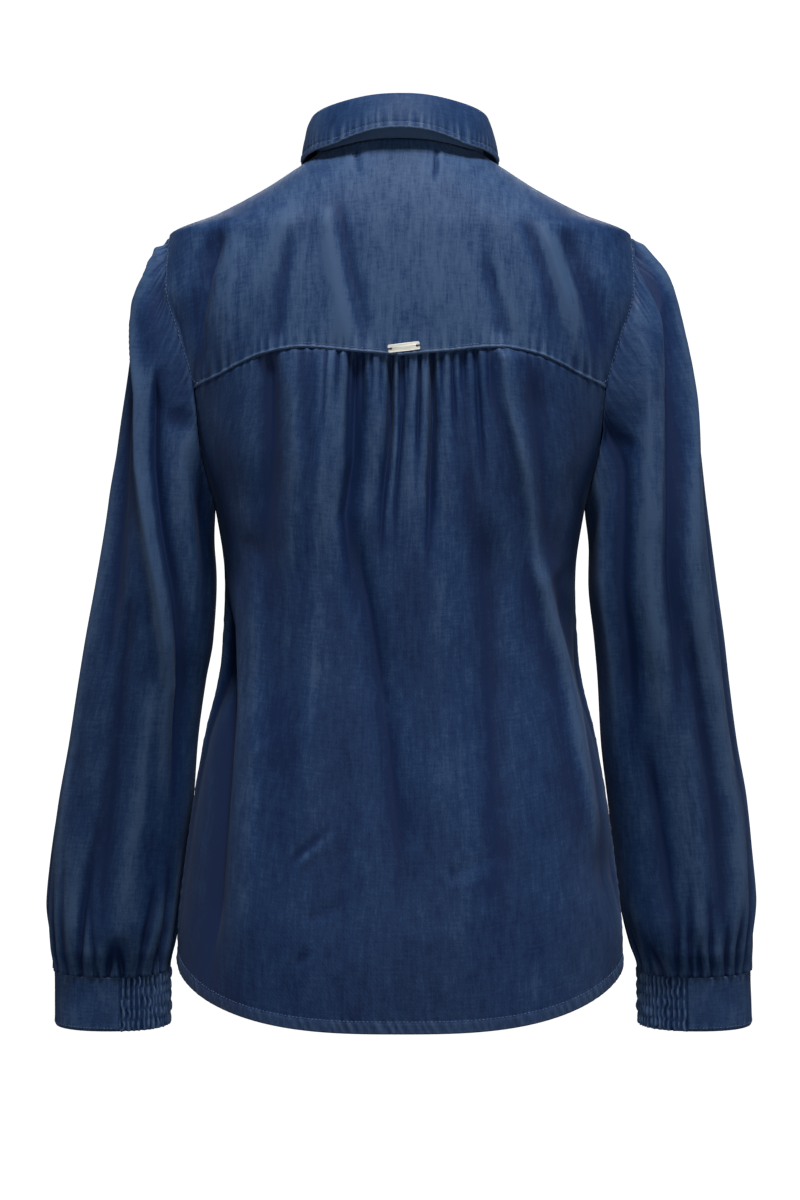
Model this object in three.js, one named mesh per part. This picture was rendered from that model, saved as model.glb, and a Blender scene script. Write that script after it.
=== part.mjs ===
// Long-sleeved denim shirt, filled out as if worn and open at the neck, hem and cuffs.
// Shirt collar, back yoke with gathers below it, sleeves gathered into half-shirred cuffs,
// curved tail hem and a plain button front.
// Millimetres, +Z up. The front faces -Y and the wearer's left is +X.
// The origin is the middle of the neck, level with the neck's side points.

import * as THREE from 'three';

// Driving sizes
const cloth = 1.6;
const seamInset = 0.2;
const lap = 14;
const lapStep = 2.2;

const neck = {
  half: 67, back: 58, front: 80, inset: 0.3, standHeight: 31, frontShare: 0.86, standLean: 1.5, lap: 7,
};
const neckLevels = { high: 17, low: -110 };
const yokeReach = { front: 110, corner: 40 };
const armhole = { top: -58, bottom: -272, belly: 11.5, backDepth: 0.54, frontDepth: 0.42, corners: 24 };
const hem = { side: -638, back: -682, front: -668, power: 3, round: 0.7 };
const cuff = { top: -647, height: 44, tilt: 7, tiltFrom: -400, tiltOver: 240, proud: 0.3, partGap: 0.5 };
const shirring = { from: 100, to: 250, ridges: 28, depth: 1.1, rows: 6, below: 0.4, betweenRows: 0.35 };
const button = { radius: 5.5, thick: 2.2, sides: 10, first: -112, pitch: 82, count: 7, gap: 0.4 };
const buttonRim = { outer: 4.6, inner: 3.9, edge: 1.8, dish: 1.65 };
const plate = {
  length: 25, height: 6.4, thick: 0.9, corner: 1.2, hole: 0.95, holeApart: 20.3, x: -3, z: -152.6, tilt: 7, gap: 0.4,
};

// Body from the neck down: half is the shoulder ridge, then the armhole seam, then the side seam
const body = [
  { z: 18, half: 52, back: 54, front: 12, square: 2.1 },
  { z: 8, half: 62, back: 61, front: 20, square: 2.1 },
  { z: 0, half: 77, back: 66, front: 30, square: 2.1 },
  { z: -20, half: 108, back: 78, front: 48, square: 2.2 },
  { z: -40, half: 145, back: 87, front: 62, square: 2.3 },
  { z: -58, half: 184, back: 93, front: 73, square: 2.4 },
  { z: -100, half: 185, back: 101, front: 92, square: 2.5 },
  { z: -140, half: 174, back: 106, front: 104, square: 2.5 },
  { z: -182, half: 162, back: 109, front: 113, square: 2.5 },
  { z: -230, half: 157, back: 109, front: 118, square: 2.5 },
  { z: -272, half: 148, back: 107, front: 118, square: 2.5 },
  { z: -332, half: 140, back: 102, front: 112, square: 2.4 },
  { z: -396, half: 143, back: 101, front: 108, square: 2.4 },
  { z: -460, half: 157, back: 107, front: 110, square: 2.3 },
  { z: -548, half: 171, back: 117, front: 116, square: 2.3 },
  { z: -620, half: 178, back: 124, front: 120, square: 2.3 },
  { z: -690, half: 178, back: 126, front: 122, square: 2.3 },
];

// Seam between yoke and back, from the middle (0) to the armhole (1)
const yokeSeam = [
  { across: 0, z: -159 },
  { across: 0.18, z: -156 },
  { across: 0.39, z: -152.5 },
  { across: 0.55, z: -157 },
  { across: 0.66, z: -164 },
  { across: 0.8, z: -173.5 },
  { across: 1, z: -182 },
];

// Long folds of the back; x and endX lie at the fold's ends, depth stands out where positive
const backFolds = [
  { x: 35, z: -150, endX: 40, endZ: -370, width: 13, depth: -4.5 },
  { x: 52, z: -150, endX: 62, endZ: -420, width: 14, depth: 3.5 },
  { x: 7, z: -150, endX: 16, endZ: -345, width: 8, depth: -3.5 },
  { x: 20, z: -150, endX: 24, endZ: -330, width: 8, depth: 2.5 },
  { x: -25, z: -150, endX: -20, endZ: -340, width: 9, depth: -3.5 },
  { x: -80, z: -140, endX: -98, endZ: -300, width: 14, depth: 3 },
  { x: 102, z: -140, endX: 108, endZ: -380, width: 17, depth: -3.5 },
  { x: -112, z: -170, endX: -122, endZ: -420, width: 17, depth: -3 },
  { x: 30, z: -420, endX: 66, endZ: -640, width: 26, depth: 3 },
  { x: -40, z: -430, endX: -70, endZ: -690, width: 24, depth: -3 },
];
const gathers = { from: 50, to: -62, pitch: 8, depth: 1.5, length: 130 };

// How the back's columns spread: degrees from the middle to the side, and share of the half width for each mm
const backSpread = { high: 60, low: 90, from: -150, over: 150, columnPerMm: 0.0052, sideSteps: 10 };
const sideSteps = 10;
const underlap = { from: 48, over: 26 };

// Sleeves: outline of each sleeve from behind, its middle and half depth from front to back
const sleeve = [
  { z: -58, outerLeft: 190, outerRight: 189, innerLeft: 150, innerRight: 150, middle: -2, depth: 57 },
  { z: -75, outerLeft: 199, outerRight: 202, innerLeft: 150, innerRight: 150, middle: -2, depth: 57 },
  { z: -91, outerLeft: 205, outerRight: 211, innerLeft: 150, innerRight: 150, middle: -2, depth: 57 },
  { z: -139, outerLeft: 214, outerRight: 224, innerLeft: 150, innerRight: 150, middle: -2, depth: 58 },
  { z: -171, outerLeft: 218, outerRight: 231, innerLeft: 151, innerRight: 151, middle: -2, depth: 58 },
  { z: -219, outerLeft: 225, outerRight: 239, innerLeft: 151, innerRight: 152, middle: -3, depth: 57 },
  { z: -272, outerLeft: 231, outerRight: 246, innerLeft: 151, innerRight: 152, middle: -4, depth: 56 },
  { z: -332, outerLeft: 242, outerRight: 254, innerLeft: 147, innerRight: 151, middle: -8, depth: 54 },
  { z: -380, outerLeft: 252, outerRight: 261, innerLeft: 150, innerRight: 156, middle: -14, depth: 52 },
  { z: -412, outerLeft: 258, outerRight: 265, innerLeft: 156, innerRight: 159, middle: -20, depth: 51 },
  { z: -461, outerLeft: 267, outerRight: 272, innerLeft: 163, innerRight: 162, middle: -29, depth: 50 },
  { z: -510, outerLeft: 277, outerRight: 281, innerLeft: 167, innerRight: 168, middle: -38, depth: 51 },
  { z: -558, outerLeft: 284, outerRight: 286, innerLeft: 173, innerRight: 174, middle: -46, depth: 52 },
  { z: -600, outerLeft: 286, outerRight: 288, innerLeft: 178, innerRight: 180, middle: -51, depth: 51 },
  { z: -625, outerLeft: 284, outerRight: 286, innerLeft: 182, innerRight: 186, middle: -52, depth: 46 },
  { z: -647, outerLeft: 280, outerRight: 284, innerLeft: 187, innerRight: 193, middle: -52, depth: 36 },
  { z: -700, outerLeft: 280, outerRight: 286, innerLeft: 187, innerRight: 194, middle: -52, depth: 34 },
];
const sleeveSquare = 2.3;
const sleeveJoin = -332;
const sleeveCap = { rows: 5, ease: 1.45, blend: 40 };
const sleeveClear = { turn: 170, over: 40, least: 0.5, most: 9 };
const sleeveStations = [-380, -430, -480, -530, -576, -618, -647];
const sleeveGather = { depth: 1.9, from: -470, full: -600 };

// Folds of a sleeve; turn is degrees from its outer edge towards the back
const sleeveFolds = [
  { turn: 20, z: -50, endTurn: 34, endZ: -190, width: 9, depth: -5 },
  { turn: 36, z: -60, endTurn: 52, endZ: -220, width: 9, depth: 4 },
  { turn: -20, z: -50, endTurn: -30, endZ: -190, width: 9, depth: -4 },
  { turn: 60, z: -250, endTurn: 48, endZ: -560, width: 13, depth: -3 },
  { turn: 95, z: -330, endTurn: 88, endZ: -640, width: 13, depth: 3 },
  { turn: 125, z: -300, endTurn: 120, endZ: -520, width: 12, depth: -3 },
  { turn: -60, z: -250, endTurn: -50, endZ: -600, width: 14, depth: -3 },
];

// Collar: fold line and outer edge, from the back (0) round to the front end (180);
// clear is the edge's height over the shoulder or chest below it
const collar = [
  { turn: -45, foldLift: 7, edgeX: -55, edgeY: 53, clear: 15 },
  { turn: 0, foldLift: 7, edgeX: 0, edgeY: 73, clear: 36 },
  { turn: 45, foldLift: 7, edgeX: 55, edgeY: 53, clear: 15 },
  { turn: 90, foldLift: 6, edgeX: 79, edgeY: -2, clear: 4 },
  { turn: 120, foldLift: 6, edgeX: 76, edgeY: -46, clear: 6 },
  { turn: 150, foldLift: 5, edgeX: 58, edgeY: -82, clear: 7 },
  { turn: 176, foldLift: 5, edgeX: 36, edgeY: -99, clear: 8 },
];
const collarFallShape = { reach: 176, roll: 5, start: 0.8, ahead: 1.2, shoulder: 3, belly: 2 };

const seamLean = 0.45;

const degree = Math.PI / 180;
const lerp = THREE.MathUtils.lerp;
const clamp = THREE.MathUtils.clamp;
const smooth = (t) => THREE.MathUtils.smoothstep(t, 0, 1);

// Smooth curve through one column of a table, without overshoot
function along(rows, by, name, at) {
  const way = Math.sign(rows[1][by] - rows[0][by]);
  const last = rows.length - 1;
  let i = 0;
  while (i < last - 1 && (at - rows[i + 1][by]) * way > 0) i += 1;
  const step = (k) => (rows[k + 1][name] - rows[k][name]) / (rows[k + 1][by] - rows[k][by]);
  const slope = (k) => {
    if (k === 0) return step(0);
    if (k === last) return step(last - 1);
    const before = step(k - 1);
    const after = step(k);
    return before * after > 0 ? (2 * before * after) / (before + after) : 0;
  };
  const width = rows[i + 1][by] - rows[i][by];
  const t = clamp((at - rows[i][by]) / width, 0, 1);
  const start = rows[i][name];
  const end = rows[i + 1][name];
  const bend = t * t * (3 - 2 * t);
  const lead = t * (1 - t) * (1 - t) * slope(i) * width;
  const trail = t * t * (t - 1) * slope(i + 1) * width;
  return start + (end - start) * bend + lead + trail;
}

// Armhole: turn runs from the shoulder (0) by the back to the armpit (PI) and up the front
function armholeHeight(turn) {
  const middle = (armhole.top + armhole.bottom) / 2;
  const reach = (armhole.top - armhole.bottom) / 2;
  return middle + reach * Math.cos(turn) + armhole.belly * Math.sin(turn) ** 2;
}

function armholeTurn(z) {
  const middle = (armhole.top + armhole.bottom) / 2;
  const reach = (armhole.top - armhole.bottom) / 2;
  const root = Math.sqrt(Math.max(0, reach ** 2 - 4 * armhole.belly * (z - middle - armhole.belly)));
  return Math.acos(clamp((reach - root) / (2 * armhole.belly), -1, 1));
}

// One level ring of the body; over the armhole it is wider than the seam, which cuts it off
function bodyRing(z, behind) {
  const square = along(body, 'z', 'square', z);
  const dent = behind ? armhole.backDepth : armhole.frontDepth;
  const reach = dent * Math.sin(armholeTurn(z));
  const seam = (1 - reach ** square) ** (1 / square);
  const half = along(body, 'z', 'half', z) / seam;
  const deep = along(body, 'z', behind ? 'back' : 'front', z);
  return { half, deep, square, edge: Math.atan2(seam, behind ? reach : -reach) };
}

// Point of the body; angle runs from the middle of the back to the sides and the front
function bodyPoint(angle, z) {
  const across = Math.sin(angle);
  const back = Math.cos(angle);
  const ring = bodyRing(z, back >= 0);
  const scale = (Math.abs(across) ** ring.square + Math.abs(back) ** ring.square) ** (-1 / ring.square);
  return new THREE.Vector3(ring.half * across * scale, ring.deep * back * scale, z);
}

function bodyNormal(angle, z) {
  const aside = bodyPoint(angle + 0.01, z).sub(bodyPoint(angle - 0.01, z));
  const down = bodyPoint(angle, z - 1).sub(bodyPoint(angle, z + 1));
  return aside.cross(down).normalize();
}

// Level at which the body passes under a point of the plan, near the neck
function neckLevel(x, y) {
  let { high, low } = neckLevels;
  for (let i = 0; i < 40; i += 1) {
    const z = (high + low) / 2;
    const ring = bodyRing(z, y >= 0);
    const inside = (Math.abs(x) / ring.half) ** ring.square + (Math.abs(y) / ring.deep) ** ring.square;
    if (inside > 1) high = z;
    else low = z;
  }
  return (high + low) / 2;
}

// Neckline at a turn from the back; gives the body's own angle and level there
function neckline(turn) {
  const x = neck.half * Math.sin(turn);
  const y = Math.cos(turn) * (Math.cos(turn) >= 0 ? neck.back : neck.front);
  const z = neckLevel(x, y);
  const ring = bodyRing(z, y >= 0);
  return { angle: Math.atan2(x / ring.half, y / ring.deep), z, point: new THREE.Vector3(x, y, z) };
}

// Edge of a seam: cloth thickness runs along face, the gap along apart
function neckSeam(turn) {
  const here = neckline(turn);
  const outward = new THREE.Vector3(here.point.x / neck.half ** 2, here.point.y / neck.front ** 2, 0).normalize();
  const face = bodyNormal(here.angle, here.z).add(outward).normalize();
  const tangent = neckline(turn + 0.02).point.sub(neckline(turn - 0.02).point);
  const apart = tangent.cross(face).normalize();
  if (apart.z < 0) apart.negate();
  return { ...here, face, apart };
}

function armholeSeam(turn, side) {
  const at = (v) => {
    const z = armholeHeight(v);
    const behind = Math.sin(v) >= 0;
    return bodyPoint(bodyRing(z, behind).edge, z);
  };
  const point = at(turn);
  const lean = seamLean * (1 + Math.cos(turn));
  const face = new THREE.Vector3(lean, Math.sin(turn), Math.cos(turn)).normalize();
  const tangent = at(turn + 0.03).sub(at(turn - 0.03));
  const apart = tangent.cross(face).normalize();
  if (apart.x < 0) apart.negate();
  const flip = new THREE.Vector3(side, 1, 1);
  return { point: point.multiply(flip), face: face.multiply(flip), apart: apart.multiply(flip) };
}

// Height of long folds at a point; each is a soft ridge or trough along a slanted line
function foldHeight(folds, x, z, across, fadeLength) {
  let sum = 0;
  for (const fold of folds) {
    const run = (fold.z - z) / (fold.z - fold.endZ);
    const line = lerp(fold[across], fold[across === 'x' ? 'endX' : 'endTurn'], clamp(run, 0, 1));
    const length = fold.z - fold.endZ;
    const fade = smooth((run * length) / fadeLength + 0.35) * smooth(((1 - run) * length) / (fadeLength * 2.2));
    sum += fold.depth * Math.exp(-(((x - line) / fold.width) ** 2)) * fade;
  }
  return sum;
}

// Closed cloth wall between an outer and an inner grid of points
function makeWall(outer, inner, ringed) {
  const points = [...outer.flat(), ...inner.flat()];
  const cols = outer[0].length;
  const innerStart = outer.length * cols;
  const out = (i, j) => i * cols + (j % cols);
  const inn = (i, j) => innerStart + i * cols + (j % cols);
  const index = [];
  const quad = (a, b, c, d) => index.push(a, b, c, a, c, d);
  const steps = ringed ? cols : cols - 1;
  const lastOut = outer.length - 1;
  const lastIn = inner.length - 1;
  for (let j = 0; j < steps; j += 1) {
    for (let i = 0; i < lastOut; i += 1) quad(out(i, j), out(i + 1, j), out(i + 1, j + 1), out(i, j + 1));
    for (let i = 0; i < lastIn; i += 1) quad(inn(i, j), inn(i, j + 1), inn(i + 1, j + 1), inn(i + 1, j));
    quad(out(0, j), out(0, j + 1), inn(0, j + 1), inn(0, j));
    quad(out(lastOut, j), inn(lastIn, j), inn(lastIn, j + 1), out(lastOut, j + 1));
  }
  if (!ringed) {
    for (const [j, turned] of [[0, false], [cols - 1, true]]) {
      const side = [];
      if (lastIn === lastOut) {
        for (let i = 0; i < lastOut; i += 1) {
          side.push([out(i, j), inn(i, j), inn(i + 1, j)], [out(i, j), inn(i + 1, j), out(i + 1, j)]);
        }
      } else {
        for (let i = 0; i < lastOut; i += 1) side.push([inn(0, j), out(i + 1, j), out(i, j)]);
        side.push([inn(0, j), inn(lastIn, j), out(lastOut, j)]);
      }
      for (const [a, b, c] of side) index.push(...(turned ? [a, c, b] : [a, b, c]));
    }
  }
  let volume = 0;
  for (let k = 0; k < index.length; k += 3) {
    volume += points[index[k]].dot(points[index[k + 1]].clone().cross(points[index[k + 2]]));
  }
  if (volume < 0) index.reverse();
  const geometry = new THREE.BufferGeometry();
  geometry.setAttribute('position', new THREE.Float32BufferAttribute(points.flatMap((p) => [p.x, p.y, p.z]), 3));
  geometry.setIndex(index);
  return geometry;
}

// Wall from a grid of { point, face, lift }: both sides are moved out along face by lift
function clothWall(grid, ringed) {
  const at = (cell, depth) => cell.point.clone().addScaledVector(cell.face, (cell.lift ?? 0) - depth);
  const outer = grid.map((row) => row.map((cell) => at(cell, 0)));
  const inner = grid.map((row) => row.map((cell) => at(cell, cloth)));
  return makeWall(outer, inner, ringed);
}

function bodyCell(angle, z, lift) {
  return { point: bodyPoint(angle, z), face: bodyNormal(angle, z), lift };
}

function armholeCell(turn, side) {
  const seam = armholeSeam(turn, side);
  return { point: seam.point.addScaledVector(seam.apart, -seamInset), face: seam.face, lift: 0 };
}

const cornerTurn = (k) => (k * 2 * Math.PI) / armhole.corners;
const yokeCorner = 7;
const armpitCorner = 12;
const shoulderCorner = 22;
const shoulderSteps = 5;

function hemLevel(angle) {
  const ring = bodyRing(hem.side, Math.cos(angle) >= 0);
  const across = Math.abs(bodyPoint(angle, hem.side).x) / ring.half;
  const deepest = Math.cos(angle) >= 0 ? hem.back : hem.front;
  return hem.side + (deepest - hem.side) * (1 - Math.min(across, 1) ** hem.power) ** hem.round;
}

// Heights of a panel's side edge: the armhole's corners, then even steps down the side seam
function edgeLevels(corners) {
  const levels = corners.map((k) => armholeHeight(cornerTurn(k)));
  for (let i = 1; i <= sideSteps; i += 1) levels.push(lerp(armhole.bottom, hem.side, i / sideSteps));
  return levels;
}

function backLift(x, z, seamZ) {
  const below = seamZ - z;
  const index = Math.round((gathers.from - x) / (gathers.pitch / 2));
  const inside = x <= gathers.from + 1 && x >= gathers.to - 1;
  const uneven = 0.65 + 0.35 * Math.sin(index * 2.4);
  const rise = smooth(below / 30 + 0.35) * (1 - smooth(below / gathers.length));
  const gather = inside ? gathers.depth * uneven * (index % 2 ? 1 : -1) * rise : 0;
  return gather + foldHeight(backFolds, x, z, 'x', 60) * smooth(below / 40);
}

// Columns of the back, close together where it is gathered
function backColumns() {
  const perMm = backSpread.columnPerMm;
  const steps = backSpread.sideSteps;
  const columns = [];
  for (let i = 0; i < steps; i += 1) columns.push(lerp(1, gathers.from * perMm, i / steps));
  for (let x = gathers.from; x >= gathers.to; x -= gathers.pitch / 2) columns.push(x * perMm);
  for (let i = 1; i <= steps; i += 1) columns.push(lerp(gathers.to * perMm, -1, i / steps));
  return columns;
}

function spreadAngle(across, z, edge) {
  const share = smooth((backSpread.from - z) / backSpread.over);
  const even = lerp(backSpread.high, backSpread.low, share) * degree;
  return across * even + (edge - even) * Math.abs(across) ** 4 * Math.sign(across);
}

function backPanel() {
  const corners = [];
  for (let k = yokeCorner; k <= armpitCorner; k += 1) corners.push(k);
  const levels = edgeLevels(corners);
  const lastRow = levels.length - 1;
  const columns = backColumns();
  return levels.map((level, row) => columns.map((across, column) => {
    const side = Math.sign(across);
    const atEdge = Math.abs(across) === 1;
    if (atEdge && row < corners.length) {
      const cell = armholeCell(cornerTurn(corners[row]), side);
      if (row === 0) cell.point.z -= seamInset;
      if (row === corners.length - 1) cell.point.y += seamInset;
      return cell;
    }
    const seamZ = along(yokeSeam, 'across', 'z', Math.abs(across));
    const hemZ = hemLevel(across * Math.PI / 2);
    const shift = level - lerp(levels[0], hem.side, row / lastRow);
    const even = lerp(seamZ, hemZ, row / lastRow) - (row === 0 ? seamInset : 0);
    const z = even + shift * Math.abs(across) ** 4;
    const edge = bodyRing(z, true).edge;
    const angle = row === 0 ? across * edge : spreadAngle(across, z, edge);
    const cell = bodyCell(angle, z, 0);
    cell.lift = atEdge ? 0 : backLift(cell.point.x, z, seamZ) * smooth((1 - Math.abs(across)) * 5);
    if (atEdge) cell.point.y += seamInset;
    return cell;
  }));
}

// Yoke: lines from the neckline out to the armholes and the back seam
function yokeLines() {
  const seamSteps = 34;
  const firstCorner = shoulderCorner - armhole.corners;
  const left = [];
  for (let k = firstCorner; k <= yokeCorner; k += 1) {
    const share = (k - firstCorner) / (yokeCorner - firstCorner);
    left.push({ side: 1, corner: k, across: 1, turn: lerp(yokeReach.front, yokeReach.corner, share) * degree });
  }
  const right = left.map((line) => ({ ...line, side: -1, across: -1, turn: -line.turn })).reverse();
  const seam = [];
  for (let i = 1; i < seamSteps; i += 1) {
    const across = lerp(1, -1, i / seamSteps);
    seam.push({ across, turn: across * yokeReach.corner * degree });
  }
  return [...left, ...seam, ...right];
}

function yoke() {
  const lines = yokeLines();
  const rows = shoulderSteps;
  const grid = [];
  for (let row = 0; row <= rows; row += 1) {
    grid.push(lines.map((line, index) => {
      const start = neckSeam(line.turn);
      const ahead = index === 0 || index === lines.length - 1 ? seamInset : 0;
      if (row === 0) {
        const point = start.point.addScaledVector(start.apart, -neck.inset);
        point.y += ahead;
        return { point, face: start.face, lift: 0 };
      }
      if (row === rows && line.side) {
        const cell = armholeCell(cornerTurn(line.corner), line.side);
        cell.point.y += ahead;
        if (line.corner === yokeCorner) cell.point.z += seamInset;
        return cell;
      }
      const t = row / rows;
      const seamZ = along(yokeSeam, 'across', 'z', Math.abs(line.across)) + seamInset;
      const endZ = line.side ? armholeHeight(cornerTurn(line.corner)) : seamZ;
      const z = lerp(start.z, endZ, t);
      const behind = !line.side || line.corner >= 0;
      const endAngle = bodyRing(endZ, behind).edge * line.across;
      const cell = bodyCell(lerp(start.angle, endAngle, t), z, 0);
      cell.point.y += ahead;
      return cell;
    }));
  }
  return grid;
}

// Front: the top edge follows the shoulder seam, then the neckline, to past the middle
function front(side) {
  const corners = [];
  for (let k = shoulderCorner; k >= armpitCorner; k -= 1) corners.push(k);
  const levels = edgeLevels(corners);
  const lastRow = levels.length - 1;
  const shoulderColumns = shoulderSteps;
  const middleColumn = shoulderColumns + 7;
  const seamEnd = armholeHeight(cornerTurn(shoulderCorner));
  const seamAngle = bodyRing(seamEnd, false).edge;
  const mirror = new THREE.Vector3(side, 1, 1);
  return levels.map((level, row) => {
    const cells = [];
    for (let column = 0; column <= middleColumn + 1; column += 1) {
      if (column === 0 && row < corners.length) {
        const cell = armholeCell(cornerTurn(corners[row]), side);
        if (row === 0 || row === corners.length - 1) cell.point.y -= seamInset;
        cells.push(cell);
        continue;
      }
      const neckPart = clamp((column - shoulderColumns) / (middleColumn - shoulderColumns), 0, 1);
      const start = neckSeam(lerp(yokeReach.front, 180, neckPart) * degree);
      let top = { angle: start.angle, z: start.z };
      if (column < shoulderColumns) {
        const t = column / shoulderColumns;
        top = { angle: lerp(seamAngle, start.angle, t), z: lerp(seamEnd, start.z, t) };
      }
      const across = Math.min(1, column / middleColumn);
      const hemZ = hemLevel(lerp(Math.PI / 2, Math.PI, across));
      const shift = level - lerp(seamEnd, hem.side, row / lastRow);
      const z = lerp(top.z, hemZ, row / lastRow) + shift * (1 - across) ** 5;
      const topEdge = bodyRing(top.z, false).edge;
      const topShare = (top.angle - topEdge) / (Math.PI - topEdge);
      const edge = bodyRing(z, false).edge;
      const angle = lerp(edge, Math.PI, lerp(topShare, across, smooth(row / 6)));
      let cell = bodyCell(angle, z, 0);
      if (row === 0 && column >= shoulderColumns) {
        cell = { point: start.point.addScaledVector(start.apart, -neck.inset), face: start.face };
      }
      if (column === 0 || (row === 0 && column <= shoulderColumns)) cell.point.y -= seamInset;
      if (column > middleColumn) cell.point.x -= lap;
      cell.lift = side > 0 ? -lapStep * smooth((underlap.from - cell.point.x) / underlap.over) : 0;
      cell.point.multiply(mirror);
      cell.face.multiply(mirror);
      cells.push(cell);
    }
    return cells;
  });
}

// Sleeve tube at a level; turn runs from its outer edge by the back to the inner edge
function sleeveTube(turn, z, side) {
  const name = side > 0 ? 'Left' : 'Right';
  const outer = along(sleeve, 'z', `outer${name}`, z);
  const inner = along(sleeve, 'z', `inner${name}`, z);
  const middle = along(sleeve, 'z', 'middle', z);
  const depth = along(sleeve, 'z', 'depth', z);
  const across = Math.cos(turn);
  const back = Math.sin(turn);
  const scale = (Math.abs(across) ** sleeveSquare + Math.abs(back) ** sleeveSquare) ** (-1 / sleeveSquare);
  const half = (outer - inner) / 2;
  const tilt = Math.tan(cuff.tilt * degree) * smooth((cuff.tiltFrom - z) / cuff.tiltOver);
  const y = depth * back * scale;
  return new THREE.Vector3(side * (inner + half + half * across * scale), middle + y, z - y * tilt);
}

function tubeNormal(at, turn, z, side) {
  const aside = at(turn + 0.02, z).sub(at(turn - 0.02, z));
  const down = at(turn, z - 1).sub(at(turn, z + 1));
  return aside.cross(down).normalize().multiplyScalar(-side);
}

function sleevePanel(side) {
  const columns = armhole.corners * 2;
  const seams = [];
  for (let k = 0; k < armhole.corners; k += 1) {
    const seam = armholeSeam(cornerTurn(k), side);
    seams.push({ point: seam.point.addScaledVector(seam.apart, seamInset), face: seam.face });
  }
  const grid = [];
  for (let row = 0; row <= sleeveCap.rows + sleeveStations.length; row += 1) {
    const cells = [];
    for (let column = 0; column < columns; column += 1) {
      const turn = (column / columns) * 2 * Math.PI;
      const here = seams[Math.floor(column / 2)];
      const next = seams[Math.ceil(column / 2) % armhole.corners];
      const seam = {
        point: here.point.clone().lerp(next.point, 0.5),
        face: here.face.clone().lerp(next.face, 0.5),
      };
      if (row === 0) {
        cells.push({ ...seam, lift: 0 });
        continue;
      }
      const cap = Math.min(1, (row / sleeveCap.rows) ** sleeveCap.ease);
      const station = sleeveStations[row - sleeveCap.rows - 1];
      const z = row <= sleeveCap.rows ? lerp(seam.point.z, sleeveJoin, cap) : station;
      const point = sleeveTube(turn, z, side);
      const face = tubeNormal((t, level) => sleeveTube(t, level, side), turn, z, side);
      const drop = seam.point.z - z;
      const shift = seam.point.clone().sub(sleeveTube(turn, seam.point.z, side));
      shift.z = 0;
      point.addScaledVector(shift, 1 - smooth(drop / sleeveCap.blend));
      const degrees = ((turn / degree + 180) % 360) - 180;
      const clearSide = smooth((sleeveClear.turn - Math.abs(degrees)) / sleeveClear.over);
      const near = smooth((sleeveGather.from - z) / (sleeveGather.from - sleeveGather.full));
      const seamed = z <= cuff.top + 1 ? 0.3 : 1;
      const uneven = 0.7 + 0.3 * Math.sin(column * 1.7);
      const gather = sleeveGather.depth * near * seamed * uneven * (column % 2 ? 1 : -1);
      const folds = foldHeight(sleeveFolds, degrees, z, 'turn', 50) * clearSide * smooth(drop / 15);
      const lift = z <= cuff.top + 1 ? gather : gather + folds;
      if (z <= cuff.top + 1) point.z += seamInset;
      cells.push({ point, face, lift: Math.min(lift, lerp(sleeveClear.least, sleeveClear.most, clearSide)) });
    }
    grid.push(cells);
  }
  return grid;
}

// Cuff: the tube goes straight on below the gathers
function cuffCell(turn, drop, side, lift) {
  const at = (t, level) => sleeveTube(t, level, side);
  const z = cuff.top - drop;
  return { point: at(turn, z), face: tubeNormal(at, turn, z, side), lift };
}

function cuffBand(side) {
  const columns = 14;
  const rows = 2;
  const grid = [];
  for (let row = 0; row <= rows; row += 1) {
    const cells = [];
    for (let column = 0; column <= columns; column += 1) {
      const start = shirring.to - 360 + cuff.partGap;
      const turn = lerp(start, shirring.from - cuff.partGap, column / columns) * degree;
      cells.push(cuffCell(turn, lerp(seamInset, cuff.height, row / rows), side, cuff.proud));
    }
    grid.push(cells);
  }
  return grid;
}

function cuffShirred(side) {
  const columns = shirring.ridges * 2;
  const { rows } = shirring;
  const outer = [];
  const inner = [];
  for (let row = 0; row <= rows; row += 1) {
    const drop = lerp(seamInset, cuff.height, row / rows);
    const line = [];
    const back = [];
    for (let column = 0; column <= columns; column += 1) {
      const turn = lerp(shirring.from, shirring.to, column / columns) * degree;
      const cell = cuffCell(turn, drop, side, 0);
      const ridge = column % 2 ? shirring.depth : 0;
      const raised = row % 2 ? 1 : shirring.betweenRows;
      line.push(cell.point.clone().addScaledVector(cell.face, ridge * raised - shirring.below));
      back.push(cell.point.clone().addScaledVector(cell.face, -shirring.below - cloth));
    }
    outer.push(line);
    if (row === 0 || row === rows) inner.push(back);
  }
  return makeWall(outer, inner, false);
}

const standLap = { from: 150, over: 25, depth: 3.1 };

// Collar stand: a band on the neckline whose ends pass each other at the front
function standPoint(turn, share) {
  const seam = neckSeam(turn);
  const point = seam.point.clone();
  const away = new THREE.Vector3(point.x / neck.half ** 2, point.y / neck.front ** 2, 0).normalize();
  const height = neck.standHeight * lerp(1, neck.frontShare, smooth(Math.abs(turn) / Math.PI));
  point.addScaledVector(away, -neck.standLean * share);
  point.z += height * share;
  return { point, away, seam };
}

function collarStand() {
  const columns = 36;
  const grid = [];
  for (let row = 0; row <= 2; row += 1) {
    const cells = [];
    for (let column = 0; column <= columns + 2; column += 1) {
      const turn = lerp(Math.PI, -Math.PI, clamp((column - 1) / columns, 0, 1));
      const { point, away, seam } = standPoint(turn, row / 2);
      const cell = { point, face: row === 0 ? seam.face.clone() : away.clone(), lift: 0 };
      if (row === 0) cell.point.addScaledVector(seam.apart, neck.inset);
      if (column === 0) cell.point.x -= neck.lap;
      if (column === columns + 2) cell.point.x += neck.lap;
      const underEnd = smooth((turn / degree - standLap.from) / standLap.over);
      cell.lift = -standLap.depth * underEnd;
      cells.push(cell);
    }
    grid.push(cells);
  }
  return grid;
}

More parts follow.
